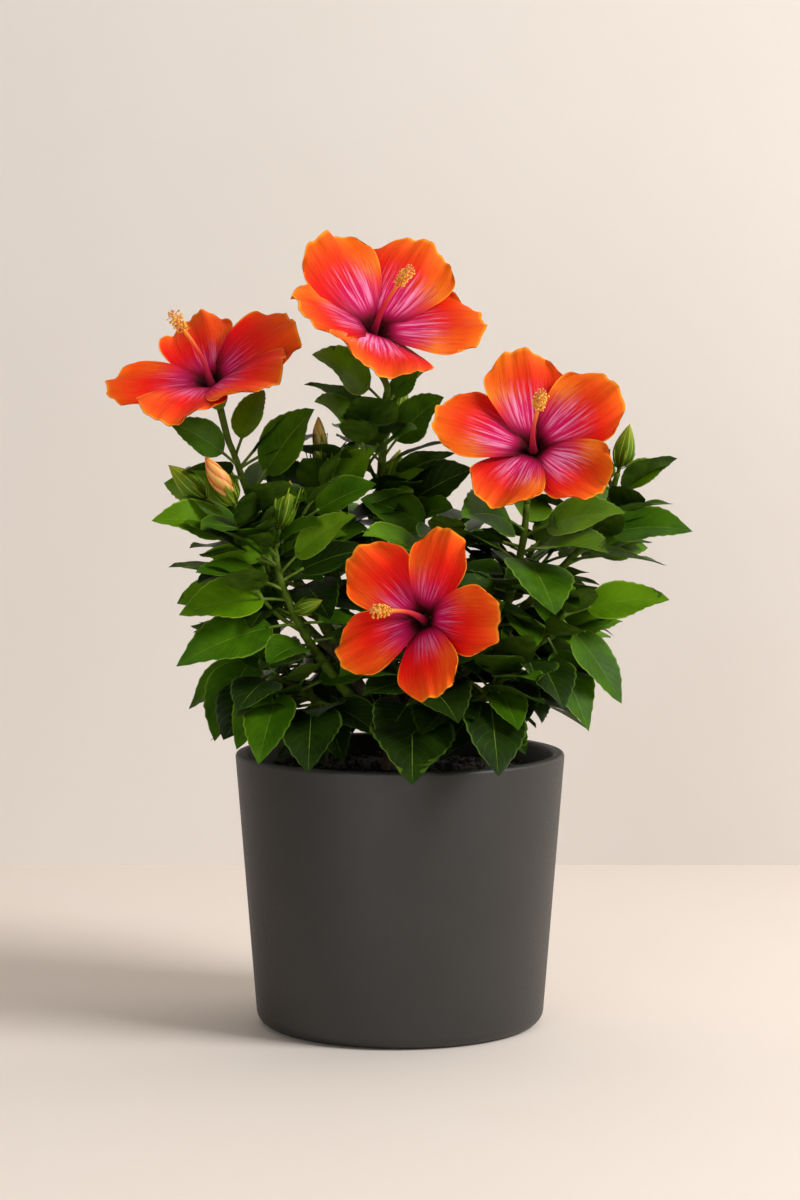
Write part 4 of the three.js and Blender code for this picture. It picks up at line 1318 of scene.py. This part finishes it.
settle(columns.build("columns", [column_finish]), "petal")
stamen_finishes = [
    bead_finish("anther_gold", 0xECA41C, 0xFFD050),
    bead_finish("filament", 0xE8903A, 0xF4B060),
    bead_finish("anther_orange", 0xD8701A, 0xF0983A),
    bead_finish("stigma", 0xE06A2A, 0xF0A048),
]
settle(stamens.build("stamens", stamen_finishes), "petal")

# %% [markdown]
# ## Calyxes, flower stalks and buds
# Behind every bloom sits a green cup of five joined sepals with pointed lobes, ringed by a few
# narrow bracts, on a stalk that bends up from the shoot. The closed buds are the same cup, shut to
# a pointed egg with pale ribs. Two buds are already opening and show their rolled petals.

# %% Calyxes and flower stalks
CALYX = Values(length=21, lobe=9, foot=3.0, lip=9.2, behind=16, wall=0.5)
BRACTS = 7
BRACT = Values(half_width=1.3, half_depth=0.35, rows=6, length=13, spread=8.5)
CUP_ROWS, CUP_SIDES = 12, 40
CALYX_GREEN, STEM_GREEN, BUD_GREEN = range(3)  # their places among the finishes of the green parts
green = Batch()


def add_cup(batch, foot, axis, profile, slot):
    """Adds a closed shell of revolution. profile(share, angle) gives height, radius and wall."""
    turn = UP.rotation_difference(axis)
    verts, uvs = [], []
    for inside in (0, 1):
        for j in range(CUP_ROWS + 1):
            for i in range(CUP_SIDES):
                angle = 2 * pi * i / CUP_SIDES
                h, r, wall = profile(j / CUP_ROWS, angle)
                r = max(r - inside * wall, 0.05)
                spot = Vector((cos(angle) * r, sin(angle) * r, h + inside * 0.3))
                verts.append(foot + turn @ spot)
                uvs.append((i / CUP_SIDES, j / CUP_ROWS))
    lip, inner = CUP_ROWS * CUP_SIDES, (CUP_ROWS + 1) * CUP_SIDES
    faces = sleeve(CUP_ROWS, CUP_SIDES)
    faces += [tuple(inner + k for k in face)[::-1] for face in faces]
    for i in range(CUP_SIDES):
        n = (i + 1) % CUP_SIDES
        faces.append((lip + i, lip + n, inner + lip + n, inner + lip + i))
        faces.append((n, i, inner + i, inner + n))
    batch.add(verts, faces, uvs, slot)


def add_bracts(foot, axis, side, start, lengths, spread):
    """Adds a ring of narrow green bracts that leave the foot of a cup and curve up beside it."""
    rows = BRACT.rows
    faces = sleeve(rows, 4) + [(3, 2, 1, 0), tuple(range(rows * 4, rows * 4 + 4))]
    for k, length in enumerate(lengths):
        out = ring_round(axis, side, 360 / BRACTS * k + start)
        bend = foot + out * (spread * 0.8) + axis * (length * 0.4)
        path = Line(foot + out * 2.2, bend, foot + out * spread + axis * length)
        level = axis.cross(out)
        verts = []
        for j in range(rows + 1):
            t = j / rows
            point = path.at(t)
            wide = level * (BRACT.half_width * sin(pi * (0.25 + 0.75 * t)) + 0.05)
            deep = level.cross(path.along(t)).normalized() * BRACT.half_depth
            verts += [point - wide, point + deep, point + wide, point - deep]
        green.add(verts, faces, slots=CALYX_GREEN)


def lobed_cup(depth, lobe, foot, lip, wall):
    """The profile of a cup that ends in five pointed lobes."""

    def profile(t, angle):
        h = t * (depth - lobe * abs(sin(2.5 * angle)) ** 0.8)
        return h, lerp(foot, lip, sqrt(min(h / depth, 1))), wall

    return profile


CALYX_CUP = lobed_cup(CALYX.length, CALYX.lobe, CALYX.foot, CALYX.lip, CALYX.wall)
for name, shoot in SHOOTS.items():
    if not shoot.bloom:
        continue
    origin, a, across, _ = bloom_frame(BLOOMS[shoot.bloom])
    foot = origin - a * CALYX.behind
    add_cup(green, foot, a, CALYX_CUP, CALYX_GREEN)
    add_bracts(foot, a, across, 0, [BRACT.length] * BRACTS, BRACT.spread)
    tip, along = STEMS[name].at(1), STEMS[name].along(1)
    stalk = Line(tip, tip + along * 10, foot + a)
    add_tube(green, stalk, taper(shoot.radius[1], CALYX.foot * 0.85), 12, 16, slot=STEM_GREEN)

# %% Buds
BUD = Values(length=34, radius=7.6, stalk=(1.3, 1.7))
LONG_BRACTS, SHORT_BRACTS = 0.95, 0.45
OPENING_BUDS = {
    ("left_buds", 0): Values(petals=31, radius=7.0, cup=15, slot=0),
    ("centre_left", 0): Values(petals=29, radius=5.4, cup=24, slot=1),
}
opening = Batch()


def ribbed_egg(length, radius):
    def profile(t, angle):
        swell = sin(pi * t**0.72) ** 0.9 if t < 1 else 0.0
        rib = 1 + 0.14 * abs(cos(2.5 * angle)) ** 3
        return t * length, max(radius * swell * rib, 0.12), 0.1

    return profile


def rolled_petals(length, radius):
    def profile(t, angle):
        swell = sin(pi * (0.2 + 0.78 * t)) ** 0.8
        twist = (angle + 2.6 * t) % (2 * pi / 5) / (2 * pi / 5)
        return 6 + t * length, max(radius * swell * (0.82 + 0.22 * twist), 0.15), 0.1

    return profile


for name, shoot in SHOOTS.items():
    for i, (t, *tip) in enumerate(shoot.buds):
        root, tip = STEMS[name].at(t), Vector(tip)
        axis = (tip - root).normalized()
        length = min(BUD.length, (tip - root).length * 0.9)
        foot = tip - axis * length
        if (name, i) in OPENING_BUDS:
            bud = OPENING_BUDS[name, i]
            add_cup(opening, foot, axis, rolled_petals(bud.petals, bud.radius), bud.slot)
            cup = lobed_cup(bud.cup, bud.cup * 0.47, 2.2, bud.radius + 0.4, 0.4)
            add_cup(green, foot, axis, cup, CALYX_GREEN)
        else:
            radius = BUD.radius * length / BUD.length
            add_cup(green, foot, axis, ribbed_egg(length, radius), BUD_GREEN)
        share = LONG_BRACTS if name == "left_front" and i == 0 else SHORT_BRACTS
        bracts = [length * (share - 0.1 * chance(k, i)) for k in range(BRACTS)]
        add_bracts(foot, axis, Vector((1, 0, 0)), 20, bracts, length * 0.3)
        middle = (root + foot) / 2 + (foot - root).cross(UP).normalized() * 0.8
        add_tube(green, Line(root, middle, foot + axis), taper(*BUD.stalk), 10, 8, slot=STEM_GREEN)

calyx_finish = plain_leaf_finish("calyx_green", 0x5A7414, 0x8CA02C, 0.5)
bud_finish = Finish("bud_green", 0.5, Specular_IOR_Level=0.15)
turn, height = bud_finish.uv()
wave = bud_finish.math("FRACT", bud_finish.times(turn, 10.0))
rib = bud_finish.smooth(bud_finish.to_ends(wave), 0.72, 1.0)
bud_tone = bud_finish.ramp(height, [(0.0, 0x4A6A0E), (0.5, 0x587A0C), (0.85, 0x84981A), (1.0, 0xB6A434)])
bud_finish.colour(bud_finish.mix(bud_finish.times(rib, 0.7), bud_tone, 0xC2CE4C))
bud_finish.bump(rib, 0.4, 0.0008)
settle(green.build("calyxes", [calyx_finish, stem_finish, bud_finish]), "leaf")


def roll_finish(name, fold, light, pale, end):
    finish = Finish(name, 0.5)
    turn, height = finish.uv()
    wound = finish.math("MULTIPLY_ADD", height, 2.07, finish.times(turn, 5.0))
    stops = [(0.0, fold), (0.3, light), (0.8, pale), (1.0, end)]
    roll_tone = finish.ramp(finish.math("FRACT", wound), stops)
    finish.colour(finish.mix(finish.smooth(height, 0.75, 1.0, 0.0, 0.5), roll_tone, end))
    return finish


roll_finishes = [
    roll_finish("bud_petal", 0xB85818, 0xEC9A3C, 0xF6C468, 0xF07A28),
    # The second set, lighter and yellower, is for the opening bud at the centre left: partly its own
    # yellow tip, partly painted light that makes up for the shade of the top bloom above it.
    roll_finish("bud_petal_painted_light", 0xE8A030, 0xFFD860, 0xFFEC98, 0xFFC040),
]
settle(opening.build("opening_bud", roll_finishes), "petal")

# %% [markdown]
# ## Sizes and the end
# The box round the visual model, without the floor and wall, is printed at the end. The visual
# model has to stay close to the CAD box.

# %% Sizes
low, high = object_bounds()
print("visual", [round(c, 4) for c in (*low, *high)])
